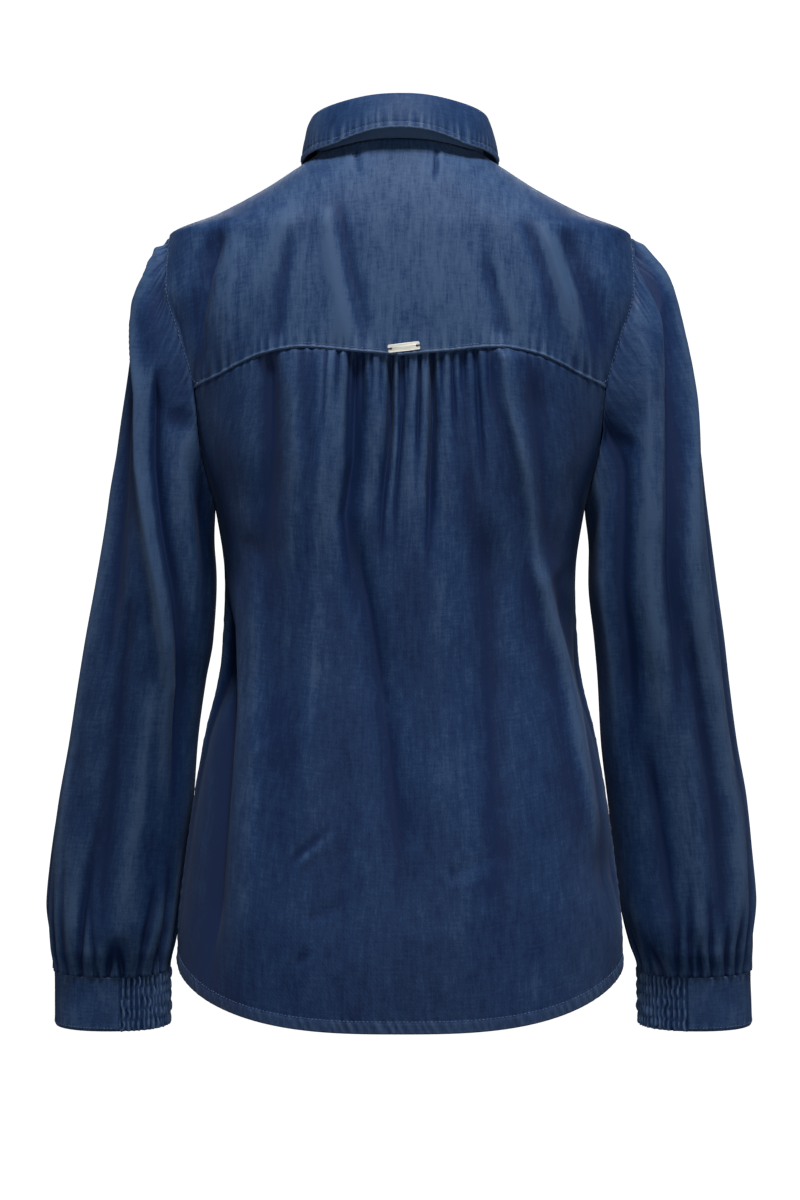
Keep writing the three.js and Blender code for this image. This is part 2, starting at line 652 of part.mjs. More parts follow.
// Collar fall: rises from the stand, rolls over and comes down to its outer edge
function collarFall() {
  const columns = 36;
  const { reach, roll, start, ahead, shoulder, belly } = collarFallShape;
  const shares = [0, 0.12, 0.26, 0.6, 1];
  const grid = shares.map(() => []);
  for (let column = 0; column <= columns; column += 1) {
    const degrees = lerp(reach, -reach, column / columns);
    const turn = degrees * degree;
    const size = Math.abs(degrees);
    const lift = along(collar, 'turn', 'foldLift', size);
    const edge = new THREE.Vector3(
      along(collar, 'turn', 'edgeX', size) * Math.sign(degrees),
      along(collar, 'turn', 'edgeY', size),
      0,
    );
    edge.z = neckLevel(edge.x, edge.y) + along(collar, 'turn', 'clear', size);
    const { point: top, away } = standPoint(turn, 1);
    const up = new THREE.Vector3(0, 0, 1);
    const outer = top.clone().addScaledVector(away, roll);
    const drop = edge.clone().sub(outer);
    const path = [
      { point: top.clone().addScaledVector(up, start).addScaledVector(away, -cloth), face: away.clone().negate() },
      { point: top.clone().addScaledVector(away, ahead).addScaledVector(up, lift), face: up.clone() },
      { point: outer.clone().addScaledVector(up, lift - shoulder), face: away.clone().add(up).normalize() },
      { point: outer.clone().addScaledVector(drop, 0.5).addScaledVector(away, belly), face: away.clone() },
      { point: edge, face: away.clone().addScaledVector(up, 0.15).normalize() },
    ];
    path.forEach((cell, row) => grid[row].push({ ...cell, lift: 0 }));
  }
  return grid;
}

// Turned disc with a rim, standing on a point of the front
function buttonGeometry() {
  const r = button.radius;
  const { outer, inner, edge, dish } = buttonRim;
  const profile = [[0, 0], [r, 0], [r, edge], [outer, button.thick], [inner, dish], [0, dish]];
  return new THREE.LatheGeometry(profile.map(([x, y]) => new THREE.Vector2(x, y)), button.sides);
}

function plateGeometry() {
  const shape = new THREE.Shape();
  const half = plate.length / 2;
  const high = plate.height / 2;
  const { corner } = plate;
  shape.moveTo(-half + corner, -high);
  shape.lineTo(half - corner, -high);
  shape.absarc(half - corner, -high + corner, corner, -Math.PI / 2, 0);
  shape.lineTo(half, high - corner);
  shape.absarc(half - corner, high - corner, corner, 0, Math.PI / 2);
  shape.lineTo(-half + corner, high);
  shape.absarc(-half + corner, high - corner, corner, Math.PI / 2, Math.PI);
  shape.lineTo(-half, -high + corner);
  shape.absarc(-half + corner, -high + corner, corner, Math.PI, 1.5 * Math.PI);
  for (const end of [-1, 1]) {
    const hole = new THREE.Path();
    hole.absarc((end * plate.holeApart) / 2, 0, plate.hole, 0, 2 * Math.PI);
    shape.holes.push(hole);
  }
  return new THREE.ExtrudeGeometry(shape, { depth: plate.thick, bevelEnabled: false, curveSegments: 4 });
}

// Finishes
const denim = new THREE.MeshStandardMaterial({ color: 0x35496b, roughness: 0.85, metalness: 0 });
const shell = new THREE.MeshStandardMaterial({ color: 0x2f3b52, roughness: 0.4, metalness: 0 });
const metal = new THREE.MeshStandardMaterial({ color: 0xb9bab5, roughness: 0.35, metalness: 1 });

const shirt = new THREE.Group();

function add(name, geometry, material) {
  const mesh = new THREE.Mesh(geometry, material.clone());
  mesh.name = name;
  shirt.add(mesh);
  return mesh;
}

add('back_panel', clothWall(backPanel(), false), denim);
add('yoke', clothWall(yoke(), false), denim);
for (const [name, side] of [['left', 1], ['right', -1]]) {
  add(`front_${name}`, clothWall(front(side), false), denim);
  add(`sleeve_${name}`, clothWall(sleevePanel(side), true), denim);
  add(`cuff_band_${name}`, clothWall(cuffBand(side), false), denim);
  add(`cuff_shirred_${name}`, cuffShirred(side), denim);
}
add('collar_stand', clothWall(collarStand(), false), denim);
add('collar_fall', clothWall(collarFall(), false), denim);

for (let i = 0; i < button.count; i += 1) {
  const z = button.first - i * button.pitch;
  const disc = add(`button_${i + 1}`, buttonGeometry(), shell);
  const face = bodyNormal(Math.PI, z);
  disc.position.copy(bodyPoint(Math.PI, z)).addScaledVector(face, button.gap);
  disc.quaternion.setFromUnitVectors(new THREE.Vector3(0, 1, 0), face);
}
const standButton = add('button_stand', buttonGeometry(), shell);
const standFront = standPoint(Math.PI, 0.5);
standButton.position.copy(standFront.point).addScaledVector(standFront.away, button.gap);
standButton.quaternion.setFromUnitVectors(new THREE.Vector3(0, 1, 0), standFront.away);

// The plate lies on the yoke just above its seam
const badge = add('plate', plateGeometry(), metal);
const plateAngle = Math.atan2(plate.x / bodyRing(plate.z, true).half, 1);
const plateFace = bodyNormal(plateAngle, plate.z);
badge.position.copy(bodyPoint(plateAngle, plate.z)).addScaledVector(plateFace, plate.gap);
badge.quaternion.setFromUnitVectors(new THREE.Vector3(0, 0, 1), plateFace);
badge.rotateZ(plate.tilt * degree);

export default shirt;
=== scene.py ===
# Denim shirt seen from behind: cloth shells over the frame's solids, with seams, stitching and trims
import math
import bpy
import bmesh
import numpy as np
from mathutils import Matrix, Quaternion, Vector


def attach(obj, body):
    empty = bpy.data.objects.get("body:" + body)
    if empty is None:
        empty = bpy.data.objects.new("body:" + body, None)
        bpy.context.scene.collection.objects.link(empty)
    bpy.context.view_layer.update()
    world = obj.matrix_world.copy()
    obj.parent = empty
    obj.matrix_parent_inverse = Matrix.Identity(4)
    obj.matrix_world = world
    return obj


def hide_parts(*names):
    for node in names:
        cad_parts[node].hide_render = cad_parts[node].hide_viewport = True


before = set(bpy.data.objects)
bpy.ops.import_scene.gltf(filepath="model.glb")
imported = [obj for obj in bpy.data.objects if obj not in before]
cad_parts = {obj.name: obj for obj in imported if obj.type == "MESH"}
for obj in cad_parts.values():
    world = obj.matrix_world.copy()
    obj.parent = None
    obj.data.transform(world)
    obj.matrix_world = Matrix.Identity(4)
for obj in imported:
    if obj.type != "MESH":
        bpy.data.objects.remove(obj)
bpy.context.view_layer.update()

mm = 0.001
degree = math.pi / 180

# Camera and light

view = {"distance": 3.2, "height": -0.348, "lens": 120.0, "sensor": 36.0}
sky = {"colour": (0.9, 0.95, 1.0, 1), "strength": 0.02}

camera = bpy.data.cameras.new("camera")
camera.lens = view["lens"]
camera.sensor_width = view["sensor"]
camera.sensor_fit = "AUTO"
cameraObject = bpy.data.objects.new("camera", camera)
cameraObject.location = (0, view["distance"], view["height"])
cameraObject.rotation_euler = (math.pi / 2, 0, math.pi)
bpy.context.scene.collection.objects.link(cameraObject)
bpy.context.scene.camera = cameraObject
bpy.context.scene.view_settings.view_transform = "Standard"

lamps = {
    "keyAbove": {"place": (-0.15, 1.15, 2.25), "aim": (0, 0, -0.3), "size": 0.6, "power": 81},
    "sideRight": {"place": (-2.4, 0.2, -0.6), "aim": (0, 0, -0.5), "size": 0.7, "power": 9},
    "sideLeft": {"place": (2.4, 0.2, -0.6), "aim": (0, 0, -0.5), "size": 0.7, "power": 8},
    "fillBehind": {"place": (-0.3, 3.5, -0.8), "aim": (0, 0, -0.2), "size": 0.6, "power": 26},
    "frontSide": {"place": (0.0, -2.4, 1.2), "aim": (0, 0, -0.3), "size": 1.0, "power": 40},
}


def addLamp(name, place, aim, size, power):
    light = bpy.data.lights.new(name, "AREA")
    light.size = size
    light.energy = power
    holder = bpy.data.objects.new(name, light)
    holder.location = place
    holder.rotation_euler = (Vector(aim) - Vector(place)).to_track_quat("-Z", "Y").to_euler()
    bpy.context.scene.collection.objects.link(holder)


for lampName, lamp in lamps.items():
    addLamp(lampName, **lamp)

world = bpy.data.worlds.new("studio")
bpy.context.scene.world = world
world.use_nodes = True
background = world.node_tree.nodes["Background"]
background.inputs["Color"].default_value = sky["colour"]
background.inputs["Strength"].default_value = sky["strength"]


def deselectAll():
    for other in bpy.context.selected_objects:
        other.select_set(False)


def choose(piece):
    deselectAll()
    piece.select_set(True)
    bpy.context.view_layer.objects.active = piece


def plainGlow(name, strength):
    glow = bpy.data.materials.new(name)
    glow.use_nodes = True
    shader = glow.node_tree.nodes["Principled BSDF"]
    shader.inputs["Base Color"].default_value = (0.9, 0.9, 0.9, 1)
    shader.inputs["Emission Color"].default_value = (1, 1, 1, 1)
    shader.inputs["Emission Strength"].default_value = strength
    return glow


# A pale room and floor that the camera sees and that throw no light on the cloth
stage = {"roomRadius": 7, "floorSize": 12, "floorLevel": -1.25, "glow": 1.0}
deselectAll()
bpy.ops.mesh.primitive_uv_sphere_add(segments=48, ring_count=24, radius=stage["roomRadius"])
room = bpy.context.object
room.name = "paleRoom"
deselectAll()
bpy.ops.mesh.primitive_plane_add(size=stage["floorSize"], location=(0, 0, stage["floorLevel"]))
floor = bpy.context.object
floor.name = "paleFloor"
for stagePiece in (room, floor):
    stagePiece.data.materials.append(plainGlow(stagePiece.name, stage["glow"]))
    stagePiece.visible_diffuse = False
    stagePiece.visible_glossy = False
    stagePiece.visible_shadow = False
print("stage ready")

# Sizes of the shirt, in millimetres; the tables repeat the cut of the frame's solids

neck = {"half": 67, "back": 58, "front": 80, "stand": 31, "lean": 1.5, "high": 17.0, "low": -110.0}
yokeReach = {"front": 110, "corner": 40}
armhole = {"top": -58, "bottom": -272, "belly": 11.5, "backDepth": 0.54, "frontDepth": 0.42}
hem = {"side": -638, "back": -682, "front": -668, "power": 3, "round": 0.7, "band": 9.5, "roping": 7.4}
cuff = {"top": -647, "height": 44, "shirredFrom": 100, "shirredTo": 250,
        "tilt": 7, "tiltFrom": -400, "tiltOver": 240}

body = {
    "z": [18, 8, 0, -20, -40, -58, -100, -140, -182, -230, -272, -332, -396, -460, -548, -620, -690],
    "half": [52, 62, 77, 108, 145, 184, 185, 174, 162, 157, 148, 140, 143, 157, 171, 178, 178],
    "back": [54, 61, 66, 78, 87, 93, 101, 106, 109, 109, 107, 102, 101, 107, 117, 124, 126],
    "front": [12, 20, 30, 48, 62, 73, 92, 104, 113, 118, 118, 112, 108, 110, 116, 120, 122],
    "square": [2.1, 2.1, 2.1, 2.2, 2.3, 2.4, 2.5, 2.5, 2.5, 2.5, 2.5, 2.4, 2.4, 2.3, 2.3, 2.3, 2.3],
}
yokeSeam = {"across": [0, 0.18, 0.39, 0.55, 0.66, 0.8, 1], "z": [-159, -156, -152.5, -157, -164, -173.5, -182]}
sleeve = {
    "z": [-58, -75, -91, -139, -171, -219, -272, -332, -380, -412, -461, -510, -558, -600, -625, -647, -700],
    "outerLeft": [190, 199, 205, 214, 218, 225, 231, 242, 252, 258, 267, 277, 284, 286, 284, 280, 280],
    "outerRight": [189, 202, 211, 224, 231, 239, 246, 254, 261, 265, 272, 281, 286, 288, 286, 284, 286],
    "innerLeft": [150, 150, 150, 150, 151, 151, 151, 147, 150, 156, 163, 167, 173, 178, 182, 187, 187],
    "innerRight": [150, 150, 150, 150, 151, 152, 152, 151, 156, 159, 162, 168, 174, 180, 186, 193, 194],
    "middle": [-2, -2, -2, -2, -2, -3, -4, -8, -14, -20, -29, -38, -46, -51, -52, -52, -52],
    "depth": [57, 57, 57, 58, 58, 57, 56, 54, 52, 51, 50, 51, 52, 51, 46, 36, 34],
}
sleeveSquare = 2.3
cornerTurn = 15
sides = {"left": 1, "right": -1}
collar = {
    "turn": [-45, 0, 45, 90, 120, 150, 176],
    "foldLift": [7, 7, 7, 6, 6, 5, 5],
    "edgeX": [-55, 0, 55, 79, 76, 58, 36],
    "edgeY": [53, 73, 53, -2, -46, -82, -99],
    "clear": [15, 36, 15, 4, 6, 7, 8],
}


def smooth(t):
    t = np.clip(t, 0, 1)
    return t * t * (3 - 2 * t)


def lerp(a, b, t):
    return a + (b - a) * t


def column(table, name, at):
    # smooth curve through one column of a table, without overshoot
    keys = np.array(next(iter(table.values())), float)
    values = np.array(table[name], float)
    if keys[0] > keys[-1]:
        keys, values = keys[::-1], values[::-1]
    steps = np.diff(values) / np.diff(keys)
    before, after = steps[:-1], steps[1:]
    sameWay = before * after > 0
    inner = np.where(sameWay, 2 * before * after / np.where(sameWay, before + after, 1), 0)
    slopes = np.concatenate([steps[:1], inner, steps[-1:]])
    at = np.clip(at, keys[0], keys[-1])
    i = np.clip(np.searchsorted(keys, at, side="right") - 1, 0, len(keys) - 2)
    width = keys[i + 1] - keys[i]
    t = (at - keys[i]) / width
    rise = values[i] + (values[i + 1] - values[i]) * t * t * (3 - 2 * t)
    return rise + t * (1 - t) ** 2 * slopes[i] * width + t * t * (t - 1) * slopes[i + 1] * width


armholeMiddle = (armhole["top"] + armhole["bottom"]) / 2
armholeReach = (armhole["top"] - armhole["bottom"]) / 2


def armholeHeight(turn):
    return armholeMiddle + armholeReach * np.cos(turn) + armhole["belly"] * np.sin(turn) ** 2


def armholeTurn(z):
    above = z - armholeMiddle - armhole["belly"]
    root = np.sqrt(np.maximum(0, armholeReach**2 - 4 * armhole["belly"] * above))
    return np.arccos(np.clip((armholeReach - root) / (2 * armhole["belly"]), -1, 1))


def bodyRing(z, behind):
    square = column(body, "square", z)
    reach = np.where(behind, armhole["backDepth"], armhole["frontDepth"]) * np.sin(armholeTurn(z))
    seam = (1 - reach**square) ** (1 / square)
    half = column(body, "half", z) / seam
    deep = np.where(behind, column(body, "back", z), column(body, "front", z))
    return half, deep, square, np.arctan2(seam, np.where(behind, reach, -reach))


def bodyPoint(angle, z):
    angle, z = np.broadcast_arrays(angle, z)
    across, back = np.sin(angle), np.cos(angle)
    half, deep, square = bodyRing(z, back >= 0)[:3]
    scale = (np.abs(across) ** square + np.abs(back) ** square) ** (-1 / square)
    return np.stack([half * across * scale, deep * back * scale, z], axis=-1)


def bodyEdge(z, behind):
    return bodyRing(z, behind)[3]


def neckLevel(x, y):
    high, low = np.full(np.shape(x), neck["high"]), np.full(np.shape(x), neck["low"])
    for step in range(40):
        z = (high + low) / 2
        half, deep, square = bodyRing(z, y >= 0)[:3]
        outside = (np.abs(x) / half) ** square + (np.abs(y) / deep) ** square > 1
        high, low = np.where(outside, z, high), np.where(outside, low, z)
    return (high + low) / 2


def neckline(turn):
    x = neck["half"] * np.sin(turn)
    y = np.cos(turn) * np.where(np.cos(turn) >= 0, neck["back"], neck["front"])
    z = neckLevel(x, y)
    half, deep = bodyRing(z, y >= 0)[:2]
    return np.arctan2(x / half, y / deep), z, np.stack([x, y, z], axis=-1)


def hemLevel(angle):
    behind = np.cos(angle) >= 0
    side = np.full(np.shape(angle), float(hem["side"]))
    across = np.minimum(np.abs(bodyPoint(angle, side)[..., 0]) / bodyRing(side, behind)[0], 1)
    deepest = np.where(behind, hem["back"], hem["front"])
    return hem["side"] + (deepest - hem["side"]) * (1 - across ** hem["power"]) ** hem["round"]


def sleeveTube(turn, z, side):
    name = "Left" if side > 0 else "Right"
    outer, inner = column(sleeve, "outer" + name, z), column(sleeve, "inner" + name, z)
    across, back = np.cos(turn), np.sin(turn)
    scale = (np.abs(across) ** sleeveSquare + np.abs(back) ** sleeveSquare) ** (-1 / sleeveSquare)
    half = (outer - inner) / 2
    y = column(sleeve, "depth", z) * back * scale
    tilt = math.tan(cuff["tilt"] * degree) * smooth((cuff["tiltFrom"] - z) / cuff["tiltOver"])
    x = side * (inner + half + half * across * scale)
    return np.stack([x, column(sleeve, "middle", z) + y, z - y * tilt], axis=-1)


# Folds and puckers: heights in millimetres over a grid of places


def folds(rows, across, down):
    # each row: start across, start down, end across, end down, width and depth, which stands out where positive
    total = np.zeros(np.broadcast(across, down).shape)
    for startA, startD, endA, endD, width, depth in rows:
        run = np.array([endA - startA, endD - startD], float)
        length = math.hypot(*run) + 1e-6
        along = ((across - startA) * run[0] + (down - startD) * run[1]) / length
        aside = ((across - startA) * run[1] - (down - startD) * run[0]) / length
        share = np.clip(along / length, 0, 1)
        wide = width * (0.75 + 0.5 * share)
        beyond = np.maximum(0, np.maximum(-along, along - length))
        fullness = smooth(1.15 * (1 - share) + 0.12) * smooth(share * 6 + 0.35)
        total += depth * fullness * np.exp(-((aside / wide) ** 2) - (beyond / (width * 1.5)) ** 2)
    return total


def ripple(s, pitch, seed=0.0):
    # uneven wave along a seam, about one crest for each pitch
    phase = 2 * np.pi * s / pitch
    wander = 1.3 * np.sin(phase / 7.3 + seed) + 0.9 * np.sin(phase / 3.1 + 2 * seed)
    size = 0.7 + 0.3 * np.sin(phase / 4.7 + 3 * seed)
    return size * np.sin(phase + wander)


# Puckers along each seam: pitch, depth and reach in millimetres, and the seed of the wave;
# the sleeve's pitch at its cuff is in degrees of turn
puckers = {
    "backTop": (8.0, 0.35, 9.0, 0.4),
    "sideSeam": (9.0, 0.4, 7.0, 2.0),
    "yokeSeam": (7.5, 0.8, 14.0, 0.7),
    "yokeArmhole": (9.0, 0.5, 12.0, 1.9),
    "yokeNeck": (8.0, 0.25, 8.0, 0.9),
    "placket": (8.0, 0.35, 5.0, 0.6),
    "sleeveSeam": (7.5, 0.6, 13.0, 0.4),
    "sleeveHead": (5.2, 0.9, 16.0, 2.2),
    "sleeveCuff": (4.2, 0.7, 7.0, 0.8),
    "cuff_left": (6.5, 0.22, 3.4, 2.5),
    "cuff_right": (6.5, 0.22, 3.4, 0.5),
    "stand": (7.0, 0.3, 5.0, 0.2),
    "fall": (7.2, 0.6, 9.0, 0.9),
}


def pucker(s, away, seam):
    # what the stitching of a seam draws up beside it, and where that catches wear
    pitch, depth, reach, seed = puckers[seam]
    wave = ripple(s, pitch, seed)
    fade = np.exp(-((away / reach) ** 2))
    return depth * wave * fade, np.clip(wave, 0, 1) * fade


# Cloth shells

clothWall = 0.9
# reach and depth of the painted fold shading
foldShading = {"wide": 16, "wideDepth": 4.6, "narrow": 5, "narrowDepth": 2.2}
cloths = {}


def gridNormals(points, closed):
    if closed:
        wrapped = np.concatenate([points[:, -2:-1], points, points[:, 1:2]], axis=1)
        across = (wrapped[:, 2:] - wrapped[:, :-2]) / 2
    else:
        across = np.gradient(points, axis=1)
    down = np.gradient(points, axis=0)
    normal = np.cross(across, down)
    length = np.linalg.norm(normal, axis=-1, keepdims=True)
    return normal / np.maximum(length, 1e-9)


def averaged(values, reach, closed):
    # mean over a few columns to each side
    edge = "wrap" if closed else "edge"
    padded = np.pad(values[:, :-1] if closed else values, ((0, 0), (reach + 1, reach)), mode=edge)
    total = np.cumsum(padded, axis=1)
    mean = (total[:, 2 * reach + 1:] - total[:, :-2 * reach - 1]) / (2 * reach + 1)
    return np.concatenate([mean, mean[:, :1]], axis=1) if closed else mean


def paintedFoldShading(lift, closed):
    # painted shade in the valleys of folds and painted light on their ridges; 0.5 is level cloth
    wide = (lift - averaged(lift, foldShading["wide"], closed)) / foldShading["wideDepth"]
    narrow = (lift - averaged(lift, foldShading["narrow"], closed)) / foldShading["narrowDepth"]
    return 0.5 + 0.5 * np.tanh(wide + narrow)


def shell(name, points, uv, lift, wear, node, wall=clothWall, closed=False, outward=None, paintedShading=0.0):
    # points: rows by columns in millimetres; lift moves them along their normals; paintedShading, painted shade
    # and light, is added to the fade;
    # node is the solid that the piece stands in for
    shape = points.shape[:2]
    normals = gridNormals(points, closed)
    facing = outward if outward is not None else points * (1, 1, 0)
    lift, wear, paintedShading = (np.broadcast_to(values, shape) for values in (lift, wear, paintedShading))
    if (normals * facing).sum() < 0:
        points, uv, normals = points[:, ::-1], uv[:, ::-1], -normals[:, ::-1]
        lift, wear, paintedShading = lift[:, ::-1], wear[:, ::-1], paintedShading[:, ::-1]
    placed = (points + normals * lift[..., None]) * mm
    deselectAll()
    bpy.ops.mesh.primitive_grid_add(x_subdivisions=shape[1] - 1, y_subdivisions=shape[0] - 1, size=1)
    piece = bpy.context.object
    piece.name = name
    piece.data.name = name
    mesh = piece.data
    mesh.vertices.foreach_set("co", placed.reshape(-1))
    corners = np.empty(len(mesh.loops), np.int32)
    mesh.loops.foreach_get("vertex_index", corners)
    layer = mesh.uv_layers[0]
    layer.name = "cloth"
    layer.data.foreach_set("uv", (uv.reshape(-1, 2)[corners] * mm).reshape(-1).astype(np.float32))
    # the fade attribute holds painted shade in fold valleys and painted light on fold ridges
    for label, values in {"wear": wear, "fade": paintedFoldShading(lift, closed) + paintedShading}.items():
        layer = mesh.attributes.new(label, "FLOAT", "POINT")
        layer.data.foreach_set("value", np.clip(values, 0, 1).reshape(-1).astype(np.float32))
    mesh.update()
    choose(piece)
    if closed:
        bpy.ops.object.mode_set(mode="EDIT")
        bpy.ops.mesh.select_all(action="SELECT")
        bpy.ops.mesh.remove_doubles(threshold=1e-5)
        bpy.ops.object.mode_set(mode="OBJECT")
    thick = piece.modifiers.new("wall", "SOLIDIFY")
    thick.thickness = wall * mm
    thick.offset = -1
    bpy.ops.object.modifier_apply(modifier="wall")
    bpy.ops.object.shade_smooth()
    cloths[name] = {"points": placed, "normals": gridNormals(placed, closed)}
    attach(piece, "root")
    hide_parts(node)
    return piece


def clothUv(points):
    # flat coordinates from the lengths across the middle row and down each column
    across = lengthsAlong(points[points.shape[0] // 2])
    steps = np.linalg.norm(np.diff(points, axis=0), axis=2).mean(axis=1)
    down = np.concatenate([[0], np.cumsum(steps)])
    return np.stack(np.meshgrid(across, -down), axis=-1)


def lengthsDown(points):
    # length down each column to each row
    return np.cumsum(np.linalg.norm(np.diff(points, axis=0, prepend=points[:1]), axis=-1), axis=0)


def lengthsAlong(line):
    return np.concatenate([[0], np.cumsum(np.linalg.norm(np.diff(line, axis=0), axis=-1))])


def span(start, end, steps):
    return np.linspace(start, end, steps + 1)


def mirrored(points, side):
    return points * (side, 1, 1)


def awayFrom(points, axis, side):
    # level directions out from an upright axis on one side of the shirt
    return (points - mirrored(np.array(axis), side)) * (1, 1, 0)


# Denim: warp streaks run down the cloth, with slubs, a fine twill in the bump and pale worn seams, and painted
# shade and light over the folds

denim = {
    "deep": (0.0026, 0.0165, 0.074),
    "main": (0.0122, 0.042, 0.126),
    "pale": (0.046, 0.092, 0.192),
    "worn": (0.150, 0.225, 0.350),
    "roughness": 0.66,
    "specular": 0.22,
    "sheen": 0.08,
    "sheenRoughness": 0.45,
    "sheenTint": (0.45, 0.6, 0.9, 1),
    # share of the painted fold shading in the colour: darker valleys, paler ridges
    "foldShadingShare": 0.74,
    # noise across and down the cloth to the metre, its detail and its share in the tone
    "noise": {
        "warp": (640, 95, 4.0, 0.34),
        "slub": (200, 38, 3.0, 0.40),
        "weft": (110, 480, 4.0, 0.34),
        "cloud": (26, 15, 5.0, 0.46),
        "grain": (1150, 950, 2.0, 0.36),
    },
    "twill": (190, 150, 1),
    "relief": {"twill": 0.12, "warp": 0.6, "slub": 0.8, "strength": 0.35, "depth": 0.0006},
}


def addNode(tree, kind, **sockets):
    node = tree.nodes.new(kind)
    for name, value in sockets.items():
        node.inputs[name].default_value = value
    return node


def streaks(tree, place, across, down, detail):
    mapping = addNode(tree, "ShaderNodeMapping", Scale=(across, down, 1))
    tree.links.new(place, mapping.inputs["Vector"])
    noise = addNode(tree, "ShaderNodeTexNoise", Scale=1.0, Detail=detail, Roughness=0.6)
    noise.noise_dimensions = "2D"
    tree.links.new(mapping.outputs["Vector"], noise.inputs["Vector"])
    return noise.outputs["Fac"]


def mathNode(tree, operation, first, second):
    node = tree.nodes.new("ShaderNodeMath")
    node.operation = operation
    for socket, value in zip(node.inputs, (first, second)):
        if isinstance(value, (int, float)):
            socket.default_value = value
        else:
            tree.links.new(value, socket)
    return node.outputs[0]


def colourRamp(tree, source, stops):
    # stops: the place and colour of each, from the lowest up
    ramp = tree.nodes.new("ShaderNodeValToRGB")
    elements = ramp.color_ramp.elements
    for at, colour in stops[1:-1]:
        elements.new(at)
    for element, (at, colour) in zip(elements, stops):
        element.position = at
        element.color = (*colour, 1)
    tree.links.new(source, ramp.inputs["Fac"])
    return ramp.outputs["Color"]


def denimCloth(name, lighten=0.0, streak=1.0):
    # lighten moves the whole cloth paler or darker; on the yoke and the collar stand it is painted light
    cloth = bpy.data.materials.new(name)
    cloth.use_nodes = True
    tree = cloth.node_tree
    shader = tree.nodes["Principled BSDF"]
    shader.inputs["Roughness"].default_value = denim["roughness"]
    shader.inputs["Sheen Weight"].default_value = denim["sheen"]
    shader.inputs["Sheen Roughness"].default_value = denim["sheenRoughness"]
    shader.inputs["Sheen Tint"].default_value = denim["sheenTint"]
    shader.inputs["Specular IOR Level"].default_value = denim["specular"]
    layer = tree.nodes.new("ShaderNodeUVMap")
    layer.uv_map = "cloth"
    place = layer.outputs["UV"]
    noise, parts = {}, []
    for label, (across, down, detail, share) in denim["noise"].items():
        noise[label] = streaks(tree, place, across, down, detail)
        parts.append((noise[label], share * streak if label in ("warp", "slub") else share))
    # painted shade in fold valleys and painted light on fold ridges, read from the fade attribute
    folded = tree.nodes.new("ShaderNodeAttribute")
    folded.attribute_name = "fade"
    parts.append((folded.outputs["Fac"], denim["foldShadingShare"]))
    level = 0.5 + lighten - 0.5 * sum(share for source, share in parts)
    for source, share in parts:
        level = mathNode(tree, "ADD", level, mathNode(tree, "MULTIPLY", source, share))
    colour = colourRamp(tree, level, [(0.2, denim["deep"]), (0.5, denim["main"]), (0.8, denim["pale"])])
    worn = tree.nodes.new("ShaderNodeAttribute")
    worn.attribute_name = "wear"
    warp = noise["warp"]
    speckled = mathNode(tree, "MULTIPLY", worn.outputs["Fac"], mathNode(tree, "ADD", warp, 0.15))
    mix = tree.nodes.new("ShaderNodeMix")
    mix.data_type = "RGBA"
    mix.inputs[7].default_value = (*denim["worn"], 1)
    tree.links.new(speckled, mix.inputs[0])
    tree.links.new(colour, mix.inputs[6])
    tree.links.new(mix.outputs[2], shader.inputs["Base Color"])
    twill = addNode(tree, "ShaderNodeTexWave", Scale=1.0, Distortion=0.6, Detail=1.0)
    twill.wave_type, twill.bands_direction = "BANDS", "DIAGONAL"
    twillMap = addNode(tree, "ShaderNodeMapping", Scale=denim["twill"])
    tree.links.new(place, twillMap.inputs["Vector"])
    tree.links.new(twillMap.outputs["Vector"], twill.inputs["Vector"])
    relief = denim["relief"]
    yarns = mathNode(tree, "ADD", mathNode(tree, "MULTIPLY", warp, relief["warp"]),
                     mathNode(tree, "MULTIPLY", noise["slub"], relief["slub"]))
    height = mathNode(tree, "ADD", mathNode(tree, "MULTIPLY", twill.outputs["Fac"], relief["twill"]), yarns)
    bump = addNode(tree, "ShaderNodeBump", Strength=relief["strength"], Distance=relief["depth"])
    tree.links.new(height, bump.inputs["Height"])
    tree.links.new(bump.outputs["Normal"], shader.inputs["Normal"])
    return cloth


trimDenim = denimCloth("trimDenim", 0.0, 0.8)
bodyDenim = denimCloth("bodyDenim", -0.11)
finishes = {
    "back": bodyDenim,
    "front": bodyDenim,
    # the yoke's cloth is made paler: painted light where the yoke faces up into the light
    "yoke": denimCloth("yokeDenimPaintedLight", 0.1, 1.2),
    "sleeve": denimCloth("sleeveDenim", -0.05),
    # the stand's cloth is made much paler: painted light where the stand lies in shade under the fall
    "stand": denimCloth("standDenimPaintedLight", 0.4, 0.8),
    "fall": trimDenim,
    "band": trimDenim,
    "shirred": trimDenim,
}


# Folds that hang down a panel


def hang(down, across, width, depth, start=12, hold=0.45, skew=1.0, peak=1.5):
    # one fold: its line across at the levels of down, its width at top and foot, and how far it stands out;
    # it fades in over start, fades out past the share hold, is wider on one flank by skew and blunter by peak
    return {"down": np.array(down, float), "across": np.array(across, float), "width": width, "depth": depth,
            "start": start, "hold": hold, "skew": skew, "peak": peak}


def drapes(rows, x, z):
    total = np.zeros(np.broadcast(x, z).shape)
    for row in rows:
        down, skew, hold = row["down"], row["skew"], row["hold"]
        line = np.interp(-z, -down, row["across"])
        share = np.clip((down[0] - z) / (down[0] - down[-1]), 0, 1.2)
        width = lerp(*row["width"], np.clip(share, 0, 1))
        aside = (x - line) / np.where(x > line, width * skew, width / skew)
        fadeIn = smooth((down[0] - z) / row["start"] + 0.5)
        fadeOut = 1 - smooth((share - hold) / (1.08 - hold))
        total += row["depth"] * np.exp(-np.abs(aside) ** row["peak"]) * fadeIn * fadeOut
    return total


# Back

